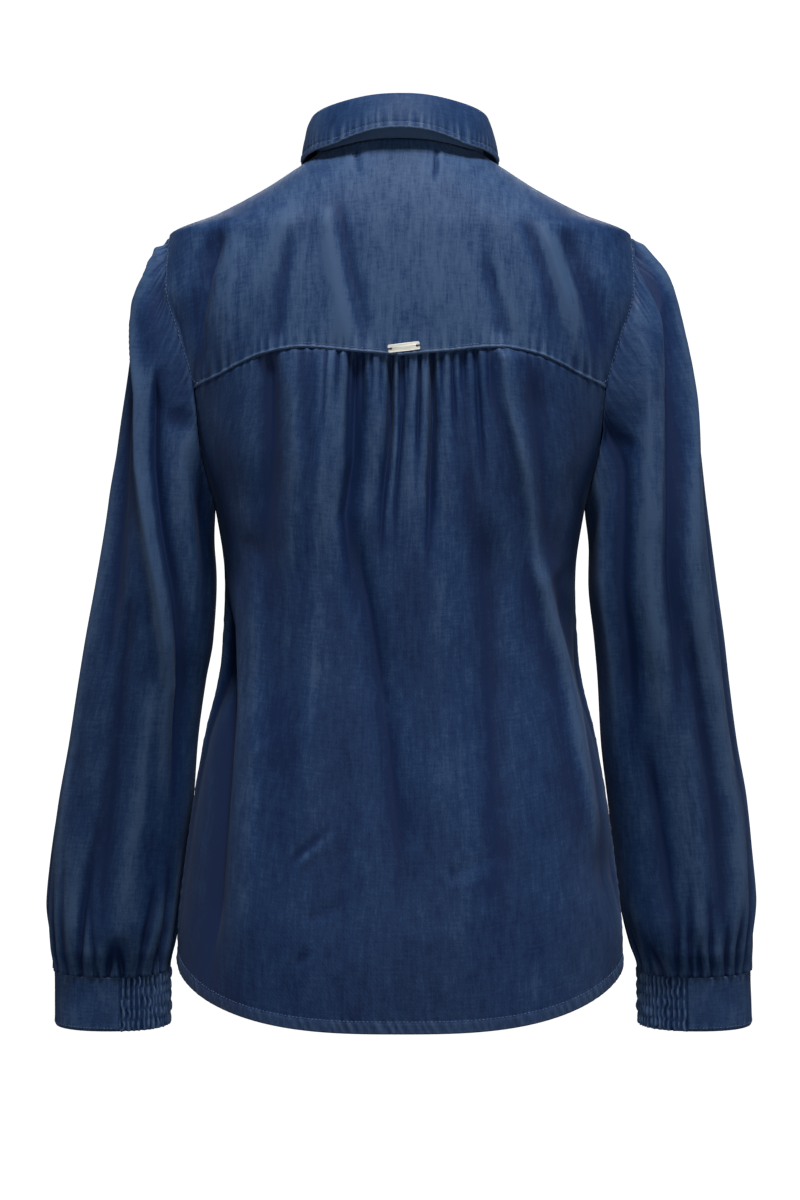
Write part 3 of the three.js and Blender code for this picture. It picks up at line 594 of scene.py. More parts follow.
back = {
    "rows": 150,
    "columns": 306,
    "closerRows": 0.62,
    "closerColumns": 0.42,
    "under": 3.5,
    "gatherDepth": 2.3,
    "drapes": [
        hang((-158, -239, -282, -370), (35, 37, 44, 34), (4.0, 12), -11.0, skew=0.6),
        hang((-158, -210, -267, -335), (7, 7, 13, 16), (2.6, 6), -9.0, skew=1.4, peak=1.2),
        hang((-158, -196, -267, -325), (-2.3, -3, 3, 5), (2.3, 5), -6.5, peak=1.2),
        hang((-156, -210, -267, -335), (-25, -26, -23, -20), (2.6, 6), -8.5, skew=0.7, peak=1.2),
        hang((-158, -225, -330), (101, 101, 106), (7, 15), -7.5, start=30),
        hang((-156, -196, -245, -340), (-79, -82, -95, -112), (6, 12), 6.5, skew=0.5),
        hang((-180, -260, -400), (-104, -110, -128), (10, 16), -5.5, start=40),
        hang((-158, -250, -380, -560), (56, 60, 64, 78), (9, 24), 6.0, start=30, hold=0.7),
        hang((-156, -250, -400), (-50, -52, -62), (9, 20), -4.0, start=30),
        hang((-166, -260, -440), (84, 80, 88), (9, 17), 4.0, start=40),
        hang((-320, -430, -590), (31, 12, -4), (9, 18), -6.5, start=60, hold=0.6),
        hang((-300, -430, -600), (-28, -32, -36), (18, 26), 4.5, start=60, hold=0.6),
        hang((-300, -430, -640), (-66, -70, -78), (10, 20), -5.0, start=60, hold=0.6),
        hang((-320, -350, -430, -555), (-104, -112, -132, -158), (8, 15), 9.0, start=60, hold=0.8, skew=0.5),
        hang((-340, -430, -600), (-126, -148, -170), (9, 14), -9.0, start=50, hold=0.8),
        hang((-340, -370, -430, -500, -640), (146, 139, 137, 142, 152),
             (8, 16), -13.0, start=50, hold=0.8, skew=1.6),
        hang((-340, -450, -620), (112, 112, 120), (12, 20), 4.5, start=60, hold=0.7),
        hang((-480, -560, -660), (40, 44, 48), (14, 20), -3.0, start=60),
        hang((-500, -580, -670), (-56, -50, -44), (14, 20), 2.6, start=60),
    ],
    # x of each gather at the seam, how far down it runs, how deep it is and how far it sways
    "gathers": [
        (57, 96, 1.3, 3), (48, 60, 1.3, 2), (39, 130, 2.8, 4), (29, 62, 1.7, 1), (22, 36, 1.2, 0),
        (15, 48, 1.3, 0), (6.2, 130, 2.8, 4), (0, 84, 2.4, 1), (-6, 46, 1.5, 0), (-11, 30, 1.0, 0),
        (-15.5, 118, 2.9, 3), (-20, 34, 1.0, 0), (-25.5, 140, 2.9, 2), (-32, 50, 1.6, 0), (-40, 92, 1.9, -4),
        (-49, 40, 1.2, 0), (-59, 120, 1.9, -7), (-69, 50, 1.2, -2),
    ],
    "creases": [
        (83, -549, 50, -520, 3.2, -2.2), (80, -553, 47, -526, 5, 1.1), (72, -594, 42, -580, 6, -1.4),
        (82, -628, 66, -617, 4, -1.3), (-36, -563, -84, -541, 7, -2.0), (-34, -570, -80, -549, 9, 1.1),
        (-10, -612, -50, -600, 9, 0.9), (118, -470, 84, -452, 9, 1.2), (124, -300, 96, -322, 8, -1.4),
        (-126, -320, -100, -344, 8, 1.4),
    ],
}


def hemBand(away, s, seed):
    # turned hem: a thicker band, drawn up along its stitching into slanted roping
    band = hem["band"]
    step = 0.55 * smooth((band + 0.6 - away) / 1.2)
    line = -0.45 * np.exp(-(((away - band) / 1.1) ** 2))
    inBand = np.exp(-(((away - band * 0.5) / (band * 0.6)) ** 2))
    rope = ripple(s + 0.5 * away, hem["roping"], seed) * (0.7 + 0.3 * np.sin(s / 31 + seed)) * inBand
    edge = smooth((1.6 - away) / 1.4)
    worn = 0.34 * np.clip(rope, 0, 1) + 0.5 * edge + 0.12 * smooth((band - away) / 2)
    return step + line + 0.5 * rope, worn


def seamLevel(across):
    return column(yokeSeam, "z", np.abs(across))


def backGrid():
    corners, sideSteps = 5, 10
    last = corners + sideSteps
    share = span(0, 1, back["rows"])
    position = last * (share - back["closerRows"] * np.sin(2 * np.pi * share) / (2 * np.pi))[:, None]
    share = span(1, -1, back["columns"])[None, :]
    across = share * (1 - back["closerColumns"] * (1 - share**2))
    onArmhole = armholeHeight((7 + np.minimum(position, corners)) * cornerTurn * degree)
    onSide = lerp(armhole["bottom"], hem["side"], (position - corners) / sideSteps)
    level = np.where(position <= corners, onArmhole, onSide)
    top = seamLevel(across)
    bottom = hemLevel(across * np.pi / 2)
    t = position / last
    shift = level - lerp(armholeHeight(7 * cornerTurn * degree), hem["side"], t)
    under = back["under"] * (1 - t) ** 30 * (1 - across**8)
    z = lerp(top, bottom, t) + shift * np.abs(across) ** 4 + under
    edge = bodyEdge(z, True)
    even = lerp(60, 90, smooth((-150 - z) / 150)) * degree
    angle = across * even + (edge - even) * np.abs(across) ** 4 * np.sign(across)
    angle = lerp(across * edge, angle, smooth(position * 2.2))
    return bodyPoint(angle, z), across, top, bottom


def makeBack():
    points, across, top, bottom = backGrid()
    x, z = points[..., 0], points[..., 2]
    below = top - z
    free = smooth((1 - np.abs(across)) * 11)
    lift = drapes(back["drapes"], x, z) + folds(back["creases"], x, z)
    for place, length, depth, sway in back["gathers"]:
        line = place + sway * np.clip(below / length, 0, 1.4)
        width = lerp(1.5, 4.6, np.clip(below / length, 0, 1))
        fade = smooth(below / 4 + 0.4) * (1 - smooth((below / length - 0.25) / 0.85))
        lift = lift - back["gatherDepth"] * depth * np.exp(-np.abs((x - line) / width) ** 1.3) * fade
    wave = ripple(x, 4.6, 1.2) * smooth((56 - np.abs(x + 10)) / 12)
    lift = lift + 0.9 * wave * smooth(below / 2 + 0.5) * np.exp(-below / 11)
    sidePucker, sideWear = pucker(x, below, "backTop")
    lift = lift + sidePucker
    lift = lift * free - 1.3 * smooth(1 - below / 2.5)
    edgeArc = lengthsAlong(points[-1])[None, :]
    away = z - bottom
    hemLift, hemWear = hemBand(away, edgeArc, 0.3)
    seamAway = (1 - np.abs(across)) * 170
    seamLift, seamWear = pucker(z, seamAway, "sideSeam")
    lift = lift + hemLift + seamLift * smooth((armhole["bottom"] - z) / 30)
    wear = hemWear + 0.2 * seamWear + 0.25 * np.exp(-((seamAway / 2.0) ** 2)) + 0.18 * sideWear
    # painted shade: darker low on the wearer's left, in the shadow where the cloth turns under
    paintedShading = -0.3 * smooth((x - 98) / 45) * smooth((-390 - z) / 90)
    return shell("backCloth", points, clothUv(points), lift, wear, "back_panel", paintedShading=paintedShading)


# Yoke: from the neckline out to the armholes and down to the back seam

yoke = {
    "sideLines": 54,
    "seamLines": 170,
    "rows": 92,
    "ridge": 2.6,
    "neckRise": (0, 1.0, 2.4),
    "drapes": [
        hang((-40, -100, -160), (84, 112, 132), (14, 18), 2.4, start=40),
        hang((-64, -95, -130, -172), (142, 152, 158, 156), (8, 11), -9.0, start=30, skew=1.5),
        hang((-60, -110, -172), (-112, -128, -142), (6, 10), 4.0, start=30),
        hang((-64, -110, -168), (-130, -146, -158), (8, 11), -9.0, start=30, skew=0.7),
        hang((-52, -104, -160), (-98, -116, -128), (6, 9), -2.4, start=30),
        hang((-70, -110, -176), (128, 134, 140), (8, 10), 2.0, start=30),
        hang((-50, -95, -150), (30, 34, 30), (14, 18), -1.0, start=40),
        hang((-40, -95, -150), (-22, -26, -34), (14, 18), 1.0, start=40),
        hang((-60, -95, -150), (-66, -70, -70), (12, 14), -1.1, start=40),
        hang((-44, -84, -120, -160), (47, 41, 33, 27), (4, 8), -2.8, start=20, hold=0.7, skew=0.7),
        hang((-44, -84, -120, -160), (59, 54, 47, 41), (5, 9), 2.2, start=20, hold=0.7),
        hang((-84, -120, -162), (-68, -77, -88), (4, 8), -2.8, start=30, hold=0.7, skew=1.5),
        hang((-66, -112, -162), (86, 93, 97), (5, 9), -2.6, start=30, hold=0.7),
        hang((6, -6, -17), (36, 34, 31), (1.6, 3.0), -2.6, start=3, skew=0.6),
        hang((6, -8, -23), (-28.5, -28, -26), (1.6, 3.0), -2.8, start=3, skew=0.6),
        hang((6, -8, -21), (-32, -32, -30.5), (1.5, 2.6), 1.6, start=3),
    ],
}


def yokeGrid():
    left = span(-2, 7, yoke["sideLines"])
    seam = span(1, -1, yoke["seamLines"])[1:-1]
    corner = np.concatenate([left, np.full(len(seam), 7.0), left[::-1]])
    across = np.concatenate([np.ones(len(left)), seam, -np.ones(len(left))])
    sideTurn = lerp(yokeReach["front"], yokeReach["corner"], (left + 2) / 9)
    turn = np.concatenate([sideTurn, seam * yokeReach["corner"], -sideTurn[::-1]]) * degree
    onSide = np.abs(across) == 1
    endZ = np.where(onSide, armholeHeight(corner * cornerTurn * degree), seamLevel(across))
    endAngle = bodyEdge(endZ, ~onSide | (corner >= 0)) * across
    startAngle, startZ, _ = neckline(turn)
    share = span(0, 1, yoke["rows"])
    t = (1 - (1 - share) ** 1.35)[:, None]
    return bodyPoint(lerp(startAngle, endAngle, t), lerp(startZ, endZ, t)), onSide


def makeYoke():
    points, onSide = yokeGrid()
    # behind, the neck edge stands up a little against the collar stand
    fromNeck = lengthsDown(points)
    rise = np.exp(-((fromNeck / 9) ** 2)) * smooth(points[:1, :, 1] / 25)
    points = points + rise[..., None] * np.array(yoke["neckRise"])
    x, y, z = np.moveaxis(points, -1, 0)
    arcs = lengthsDown(points)
    away = arcs[-1:] - arcs
    edgeArc = lengthsAlong(points[-1])[None, :]
    toSeam = np.where(onSide, 60.0, away)
    toArm = np.where(onSide, away, 60.0)
    behind = smooth(y / 20)
    seamLift, seamWear = pucker(x, toSeam, "yokeSeam")
    armLift, armWear = pucker(edgeArc, toArm, "yokeArmhole")
    ridge = smooth((yoke["ridge"] - toSeam) / 1.0)
    small = ripple(x, 3.0, 0.5)
    lift = drapes(yoke["drapes"], x, z) * behind * smooth(away / 14)
    neckLift, neckWear = pucker(edgeArc * 0.45, arcs, "yokeNeck")
    lift = lift + seamLift + armLift + 0.85 * ridge + 0.14 * small * ridge + neckLift
    lift = lift - 0.9 * smooth((0.7 - toSeam) / 0.7)
    wear = 0.5 * ridge * (0.75 + 0.25 * small) + 0.3 * seamWear + 0.22 * armWear + 0.2 * neckWear
    wear = wear + 0.25 * np.exp(-((toArm / 1.6) ** 2))
    uv = np.stack([x * 1.05, 0.85 * z - 0.5 * np.abs(y)], axis=-1)
    # painted shade: darker towards the armholes, where the shoulders turn from the light, and a little paler in
    # the middle, painted light
    paintedShading = 0.07 - 0.30 * smooth((np.abs(x) - 75) / 85)
    return shell("yokeCloth", points, uv, lift, wear, "yoke", paintedShading=paintedShading)


# Fronts: each runs from the shoulder seam and neckline down to the hem, with a turned-back placket

fronts = {
    "rows": 168,
    "columns": 74,
    "lap": 14,
    "step": 2.2,
    "placket": 30,
    "drapes": [
        hang((-120, -250, -420), (66, 60, 70), (12, 20), -3.0, start=60),
        hang((-100, -240, -400), (96, 92, 100), (12, 20), 3.2, start=60),
        hang((-200, -330, -560), (112, 110, 128), (12, 20), -3.2, start=70),
        hang((-330, -450, -640), (58, 66, 78), (16, 24), 3.0, start=80),
        hang((-60, -120, -210), (118, 122, 116), (8, 12), 2.0, start=40),
    ],
    "creases": [(134, -280, 92, -262, 9, -1.8), (130, -300, 84, -300, 9, 1.5), (60, -500, 110, -480, 9, -1.2),
                (130, -560, 96, -590, 8, 1.2), (44, -380, 70, -368, 7, 0.9)],
}


def frontGrid():
    corners, sideSteps, shoulder, middle = 10, 10, 5, 12
    last = corners + sideSteps
    position = span(0, last, fronts["rows"])[:, None]
    place = np.concatenate([span(0, middle, fronts["columns"]), span(middle, middle + 1, 6)[1:]])[None, :]
    onArmhole = armholeHeight((22 - np.minimum(position, corners)) * cornerTurn * degree)
    onSide = lerp(armhole["bottom"], hem["side"], (position - corners) / sideSteps)
    level = np.where(position <= corners, onArmhole, onSide)
    seamEnd = armholeHeight(22 * cornerTurn * degree)
    seamAngle = bodyEdge(np.array(seamEnd), False)
    neckPart = np.clip((place - shoulder) / (middle - shoulder), 0, 1)
    startAngle, startZ, _ = neckline(lerp(yokeReach["front"], 180, neckPart) * degree)
    share = np.clip(place / shoulder, 0, 1)
    topAngle, topZ = lerp(seamAngle, startAngle, share), lerp(seamEnd, startZ, share)
    across = np.minimum(1, place / middle)
    bottom = hemLevel(lerp(np.pi / 2, np.pi, across))
    t = position / last
    z = lerp(topZ, bottom, t) + (level - lerp(seamEnd, hem["side"], t)) * (1 - across) ** 5
    topEdge = bodyEdge(topZ, False)
    topShare = (topAngle - topEdge) / (np.pi - topEdge)
    edge = bodyEdge(z, False)
    angle = lerp(edge, np.pi, lerp(topShare, across, smooth(position / 6)))
    points = bodyPoint(angle, z)
    points[..., 0] -= fronts["lap"] * np.clip(place - middle, 0, 1)
    return points, across + 0 * z, bottom, topZ


def makeFront(sideName):
    side = sides[sideName]
    points, across, bottom, top = frontGrid()
    x, z = points[..., 0], points[..., 2]
    free = smooth(across * 6) * smooth((x - 22) / 18) * smooth((top - z) / 30)
    lift = (drapes(fronts["drapes"], x, z) + folds(fronts["creases"], x, z)) * free
    if side < 0:
        lift = lift * 0.9
    edgeArc = lengthsAlong(points[-1])[None, :]
    hemLift, hemWear = hemBand(z - bottom, edgeArc, 1.3 + side)
    seamAway = across * 190
    seamLift, seamWear = pucker(z, seamAway, "sideSeam")
    # the placket is a raised band; the left front steps in to lie under the right one
    fromEdge = x + fronts["lap"]
    band = smooth((fronts["placket"] + 0.5 - fromEdge) / 1.2)
    ropeLift, ropeWear = pucker(z, np.abs(fromEdge - fronts["placket"]), "placket")
    under = -fronts["step"] * smooth((48 - x) / 26) if side > 0 else 0.0
    lift = lift + hemLift + seamLift + 0.5 * band + ropeLift + under
    wear = hemWear + 0.2 * seamWear + 0.25 * ropeWear + 0.4 * smooth((1.4 - fromEdge) / 1.2)
    uv = clothUv(points)
    return shell("frontCloth_" + sideName, mirrored(points, side), uv, lift, wear, "front_" + sideName)


# Sleeves: turn runs from the outer edge by the back to the inner edge; folds are in degrees of turn

sleeves = {
    "capRows": 76,
    "rows": 112,
    "columns": 208,
    "join": -332,
    "seed": 11,
    "axis": (205, -20, 0),
    "standOut": (0.4, 9),
    "left": {
        "pleats": [(-14, -60, -26, -150, 8, -4.0), (54, -70, 64, -140, 7, -2.6), (-34, -70, -44, -150, 8, 3.0),
                   (78, -90, 88, -170, 7, 2.0)],
        "drapes": [
            hang((-60, -96, -130, -188, -244, -316, -350, -418, -520), (18, 33, 36, 58, 66, 86, 97, 116, 124),
                 (7, 10), 7.5, start=30, hold=0.7, skew=1.5),
            hang((-180, -244, -316, -350, -418, -520), (76, 83, 101, 111, 128, 136),
                 (6, 9), -9.0, start=40, hold=0.7, skew=1.4),
            hang((-130, -190, -260, -340, -420), (18, 34, 44, 52, 58), (8, 12), -5.5, start=40, hold=0.7),
            hang((-240, -340, -480, -640), (24, 28, 34, 40), (9, 13), 4.0, start=60),
            hang((-360, -470, -640), (70, 78, 84), (10, 12), -5.0, start=60, hold=0.7),
            hang((-150, -250, -330), (112, 118, 130), (10, 13), 4.0, start=50),
            hang((-190, -300, -430), (140, 146, 150), (9, 12), -4.0, start=50),
            hang((-420, -500, -640), (104, 104, 100), (8, 11), 3.6, start=60),
            hang((-300, -430, -600), (4, 4, 8), (8, 11), -3.4, start=60),
            hang((-200, -380, -600), (-50, -46, -50), (10, 15), -5.0, start=60),
            hang((-240, -420, -620), (-88, -92, -86), (10, 15), 4.0, start=60),
            hang((-220, -360, -520), (-128, -124, -120), (10, 13), -3.6, start=60),
        ],
        "creases": [(40, -470, 66, -540, 11, -1.4), (-30, -400, -80, -430, 9, -2.4),
                    (-60, -450, -110, -440, 9, 1.8), (96, -200, 134, -226, 9, -1.8)],
    },
    "right": {
        "pleats": [(-12, -60, -24, -150, 8, -4.0), (66, -74, 78, -150, 7, -2.4), (-34, -70, -44, -150, 8, 3.0),
                   (92, -90, 100, -170, 7, 1.6)],
        "drapes": [
            hang((-60, -88, -116, -188, -244, -316, -440), (20, 36, 44, 62, 71, 79, 84),
                 (7, 10), -9.0, start=14, hold=0.75, skew=0.55, peak=1.3),
            hang((-60, -100, -188, -244, -316, -430), (4, 16, 26, 42, 54, 60),
                 (9, 13), 6.0, start=18, hold=0.75),
            hang((-110, -188, -244, -316, -440), (64, 87, 93, 98, 102), (8, 12), 5.0, start=50, hold=0.75),
            hang((-150, -240, -340, -470), (116, 118, 122, 124), (8, 11), -5.5, start=50, hold=0.75),
            hang((-160, -260, -380, -520), (140, 142, 142, 136), (8, 11), 3.6, start=50),
            hang((-260, -400, -580), (18, 22, 26), (9, 12), -4.6, start=60),
            hang((-380, -480, -640), (66, 64, 64), (7, 10), -5.0, start=60, hold=0.7),
            hang((-400, -500, -640), (46, 44, 44), (8, 11), 4.0, start=60, hold=0.7),
            hang((-480, -560, -640), (112, 108, 104), (7, 9), -4.0, start=50),
            hang((-200, -380, -600), (-48, -44, -50), (10, 15), -5.0, start=60),
            hang((-240, -420, -620), (-86, -92, -84), (10, 15), 4.0, start=60),
            hang((-220, -360, -520), (-126, -122, -120), (10, 13), -3.6, start=60),
        ],
        "creases": [(30, -480, 60, -540, 11, -1.4), (-30, -410, -80, -440, 9, -2.4),
                    (-64, -460, -112, -446, 9, 1.8), (104, -230, 136, -206, 9, -1.6)],
    },
}


def sleeveGathers(turn, z, seed):
    # uneven pleats that rise from the cuff: each has its own place, length, depth and lean
    dice = np.random.default_rng(seed)
    total = np.zeros(np.broadcast(turn, z).shape)
    place = -180.0
    while place < 175:
        length, depth, lean = dice.uniform(28, 150), dice.uniform(3.2, 8.0), dice.normal(0, 9)
        up = (z - cuff["top"]) / length
        line = place + lean * np.clip(up, 0, 1)
        away = (turn - line + 180) % 360 - 180
        width = lerp(1.7, 6.5, np.clip(up, 0, 1) ** 0.8)
        grow = 0.5 + 0.5 * smooth(up * 3)
        total -= depth * grow * np.exp(-np.abs(away / width) ** 1.25) * (1 - smooth((up - 0.15) / 0.85))
        place += dice.uniform(9, 17)
    return total


def sleeveGrid(side):
    turn = np.linspace(-np.pi, np.pi, sleeves["columns"] + 1)[None, :]
    seamZ = armholeHeight(turn)
    seam = bodyPoint(bodyEdge(seamZ, turn >= 0), seamZ)
    seam = mirrored(seam, side)
    cap = (span(0, 1, sleeves["capRows"]) ** 1.45)[:, None]
    below = span(sleeves["join"], cuff["top"], sleeves["rows"])[1:, None]
    z = np.concatenate([lerp(seamZ, sleeves["join"], cap), below + 0 * turn])
    points = sleeveTube(turn, z, side)
    shift = (seam - sleeveTube(turn, seamZ, side)) * (1, 1, 0)
    drop = seamZ - z
    points = points + shift * (1 - smooth(drop / 40))[..., None]
    return points, turn + 0 * z, z, drop, seam


def makeSleeve(sideName):
    side, own = sides[sideName], sleeves[sideName]
    points, turn, z, drop, seam = sleeveGrid(side)
    wide = turn / degree
    clear = smooth((172 - np.abs(wide)) / 36)
    lift = drapes(own["drapes"], wide, z) * clear * smooth(drop / 9)
    lift = lift + folds(own["pleats"], wide, z) * smooth(drop / 12) * clear
    lift = lift + folds(own["creases"], wide, z) * clear
    lift = lift * smooth((z - cuff["top"]) / 60 + 0.15)
    room = lerp(0.45, 1.0, clear)
    lift = lift + (sleeveGathers(wide, z, sleeves["seed"] + side) + 2.0 * smooth((-540 - z) / 60)) * room
    arc = lengthsAlong(seam[0])[None, :]
    seamLift, seamWear = pucker(arc, drop * 0.8, "sleeveSeam")
    topEase, topWear = pucker(arc, drop, "sleeveHead")
    nearTop = smooth((78 - np.abs(wide)) / 30)
    lift = lift + (seamLift + topEase * nearTop) * smooth(drop / 2) - 0.5 * smooth(1 - drop / 2)
    tiny, tinyWear = pucker(wide, z - cuff["top"], "sleeveCuff")
    lift = lift + tiny
    wear = 0.22 * seamWear + 0.2 * topWear * nearTop + 0.2 * tinyWear
    uv = np.stack([wide * 0.87 + 0 * z, z], axis=-1)
    # folds stand out less on the side next to the body
    lift = np.minimum(lift, lerp(*sleeves["standOut"], clear))
    outward = awayFrom(points, sleeves["axis"], side)
    return shell("sleeveCloth_" + sideName, points, uv, lift, wear, "sleeve_" + sideName,
                 closed=True, outward=outward)


# Cuffs: a plain band on the outer side and rows of elastic on the inner side

cuffs = {
    "bandRows": 26,
    "bandColumns": 110,
    "shirredRows": 46,
    "shirredColumns": 220,
    "elasticRows": 5,
    "ridges": 28,
    "ridgeDepth": 2.1,
    "tuck": 4,
    "bandLift": 0.5,
    "bandWall": 2.0,
    "bandSeed": 1.5,
    "shirredSeed": 0.4,
    "axis": (236, -52, 0),
    "creases": [(-30, 8, 10, 34, 8, 0.8), (40, 30, 70, 6, 8, -0.9), (78, 6, 92, 36, 6, 0.8)],
}


def makeBand(sideName):
    side = sides[sideName]
    seed = cuffs["bandSeed"] + side
    turn = span(cuff["shirredTo"] - 360 + 0.2, cuff["shirredFrom"] - 0.2, cuffs["bandColumns"])[None, :]
    drop = span(0, cuff["height"], cuffs["bandRows"])[:, None]
    points = sleeveTube(turn * degree, cuff["top"] - drop, side)
    arc = turn * 0.8 + 0 * drop
    near = np.minimum(drop, cuff["height"] - drop)
    puckerLift, puckerWear = pucker(arc, np.abs(near - 3.2), "cuff_" + sideName)
    ends = np.minimum(turn - turn[0, 0], turn[0, -1] - turn) * 0.8
    soft = 0.8 * np.sin(arc / 19 + seed) * np.sin(drop / 15 + seed)
    soft = soft + folds(cuffs["creases"], turn + 0 * drop, drop)
    # the edge rolls in all round, as a turned and pressed band does
    edge = -0.8 * (1 - smooth(np.minimum(near, ends) / 1.4 + 0.12))
    wear = 0.42 * smooth((1.3 - near) / 1.1) + 0.3 * smooth((1.6 - drop) / 1.2) + 0.2 * puckerWear
    uv = np.stack([arc, -drop + 0 * arc], axis=-1)
    lift = cuffs["bandLift"] + puckerLift + soft * 0.5 + edge
    outward = awayFrom(points, cuffs["axis"], side)
    return shell("cuffBandCloth_" + sideName, points, uv, lift, wear, "cuff_band_" + sideName,
                 wall=cuffs["bandWall"], outward=outward)


def makeShirred(sideName):
    side = sides[sideName]
    seed = cuffs["shirredSeed"] + side
    tuck = cuffs["tuck"]
    turn = span(cuff["shirredFrom"] - tuck, cuff["shirredTo"] + tuck, cuffs["shirredColumns"])[None, :]
    drop = span(0, cuff["height"], cuffs["shirredRows"])[:, None]
    points = sleeveTube(turn * degree, cuff["top"] - drop, side)
    rows = cuffs["elasticRows"]
    phase = drop / cuff["height"] * rows
    tied = np.abs(np.sin(np.pi * phase))
    row = np.floor(phase)
    # ridges wander a little from one row of elastic to the next
    wander = 0.9 * np.sin(turn / 7.1 + 2.1 * row + seed) + 0.7 * np.sin(turn / 3.3 + 1.3 * row)
    often = 2 * np.pi * cuffs["ridges"] / (cuff["shirredTo"] - cuff["shirredFrom"])
    ridge = np.sin((turn + wander * tied) * often)
    small = 0.35 * np.sin((turn + 2 * wander) * often * 2.2 + seed)
    size = 0.75 + 0.25 * np.sin(turn / 5.7 + row * 2.4)
    lift = cuffs["ridgeDepth"] * (0.62 + 0.38 * tied) * (0.8 * ridge + small) * size + 0.22 * tied - 0.5
    frill = smooth((4 - (cuff["height"] - drop)) / 4)
    lift = lift + frill * 0.8 * np.sin(2 * np.pi * turn / 8.4 + seed)
    shown = smooth(np.minimum(turn - turn[0, 0], turn[0, -1] - turn) / tuck - 0.3)
    lift = lerp(-2.1, lift, shown)
    wear = 0.34 * np.clip(ridge, 0, 1) * tied + 0.35 * smooth((1.2 - (cuff["height"] - drop)) / 1.0)
    uv = np.stack([turn * 1.6 + 0 * drop, -drop + 0 * turn], axis=-1)
    outward = awayFrom(points, cuffs["axis"], side)
    return shell("cuffShirredCloth_" + sideName, points, uv, lift, wear, "cuff_shirred_" + sideName,
                 outward=outward)


# Collar

collarShape = {
    "reach": 176,
    "rows": 44,
    "columns": 250,
    "roll": 5,
    "wall": 2.2,
    "droop": 3.2,
    "stitchLine": 5.2,
    "creases": [(150, 30, 230, 18, 9, 0.8), (60, 12, 120, 34, 9, -0.7), (250, 10, 330, 30, 10, 0.7)],
    "standRows": 14,
    "standColumns": 200,
    "standWall": 1.4,
    "standPaintedLight": 0.06,
    "standLap": 7,
    "frontShare": 0.86,
    "radius": 66,
}


def standPoint(turn, share):
    point = neckline(turn)[2]
    away = point / np.array([neck["half"] ** 2, neck["front"] ** 2, 1]) * (1, 1, 0)
    away = away / np.linalg.norm(away, axis=-1, keepdims=True)
    height = neck["stand"] * lerp(1, collarShape["frontShare"], smooth(np.abs(turn) / np.pi))
    point = point - away * (neck["lean"] * share)[..., None]
    point[..., 2] += height * share
    return point, away


def makeStand():
    turn = np.linspace(np.pi, -np.pi, collarShape["standColumns"] + 1)
    turn = np.concatenate([turn[:1], turn, turn[-1:]])[None, :]
    share = span(0, 1, collarShape["standRows"])[:, None]
    turn, share = np.broadcast_arrays(turn, share)
    points, away = standPoint(turn, share)
    points[:, 0, 0] -= collarShape["standLap"]
    points[:, -1, 0] += collarShape["standLap"]
    lift = -1.4 * fronts["step"] * smooth((turn - 150 * degree) / (25 * degree))
    arc = turn * collarShape["radius"]
    seamLift, seamWear = pucker(arc, share * neck["stand"], "stand")
    lift = lift + seamLift - 0.3 * (1 - smooth(share * 14))
    uv = np.stack([arc, share * neck["stand"]], axis=-1)
    # painted light: an even paler tone over the whole stand, which lies in shade under the fall, added to the
    # seam wear
    wear = 0.2 * seamWear + collarShape["standPaintedLight"]
    return shell("collarStandCloth", points, uv, lift, wear, "collar_stand",
                 wall=collarShape["standWall"], outward=away)


def throughPoints(path, rows):
    # smooth curve through a short list of point rows
    path = np.stack(path)
    padded = np.concatenate([2 * path[:1] - path[1:2], path, 2 * path[-1:] - path[-2:-1]])
    lengths = np.linalg.norm(np.diff(path, axis=0), axis=-1).mean(axis=1)
    knots = np.concatenate([[0], np.cumsum(lengths)])
    result = []
    for at in np.linspace(0, knots[-1], rows + 1):
        i = min(int(np.searchsorted(knots, at, side="right")) - 1, len(path) - 2)
        t = (at - knots[i]) / (knots[i + 1] - knots[i])
        p0, p1, p2, p3 = padded[i], padded[i + 1], padded[i + 2], padded[i + 3]
        previous, following = lengths[max(i - 1, 0)], lengths[min(i + 1, len(lengths) - 1)]
        before = (p2 - p0) * lengths[i] / (lengths[i] + previous)
        after = (p3 - p1) * lengths[i] / (lengths[i] + following)
        result.append(p1 * (2 * t**3 - 3 * t**2 + 1) + before * (t**3 - 2 * t**2 + t)
                      + p2 * (3 * t**2 - 2 * t**3) + after * (t**3 - t**2))
    return np.stack(result)


def fallGrid():
    degrees = span(collarShape["reach"], -collarShape["reach"], collarShape["columns"])
    turn, size, sign = degrees * degree, np.abs(degrees), np.sign(degrees)
    fold, edgeX, edgeY, clear = (column(collar, name, size) for name in ("foldLift", "edgeX", "edgeY", "clear"))
    edge = np.stack([edgeX * sign, edgeY, neckLevel(edgeX, edgeY) + clear], axis=-1)
    # behind the neck the edge droops a little below the line of the collar's table
    edge[:, 2] -= collarShape["droop"] * np.exp(-((degrees / 52) ** 2))
    top, away = standPoint(turn, np.ones_like(turn))
    up = np.array([0, 0, 1.0])
    fold = fold[:, None]
    outer = top + away * collarShape["roll"]
    path = [
        top + up * 0.8 - away * 0.2,
        top + away * 1.2 + up * fold,
        outer + up * (fold - 3),
        (outer + edge) / 2 + away * 2,
        edge,
    ]
    return throughPoints(path, collarShape["rows"]), np.stack([away] * (collarShape["rows"] + 1))


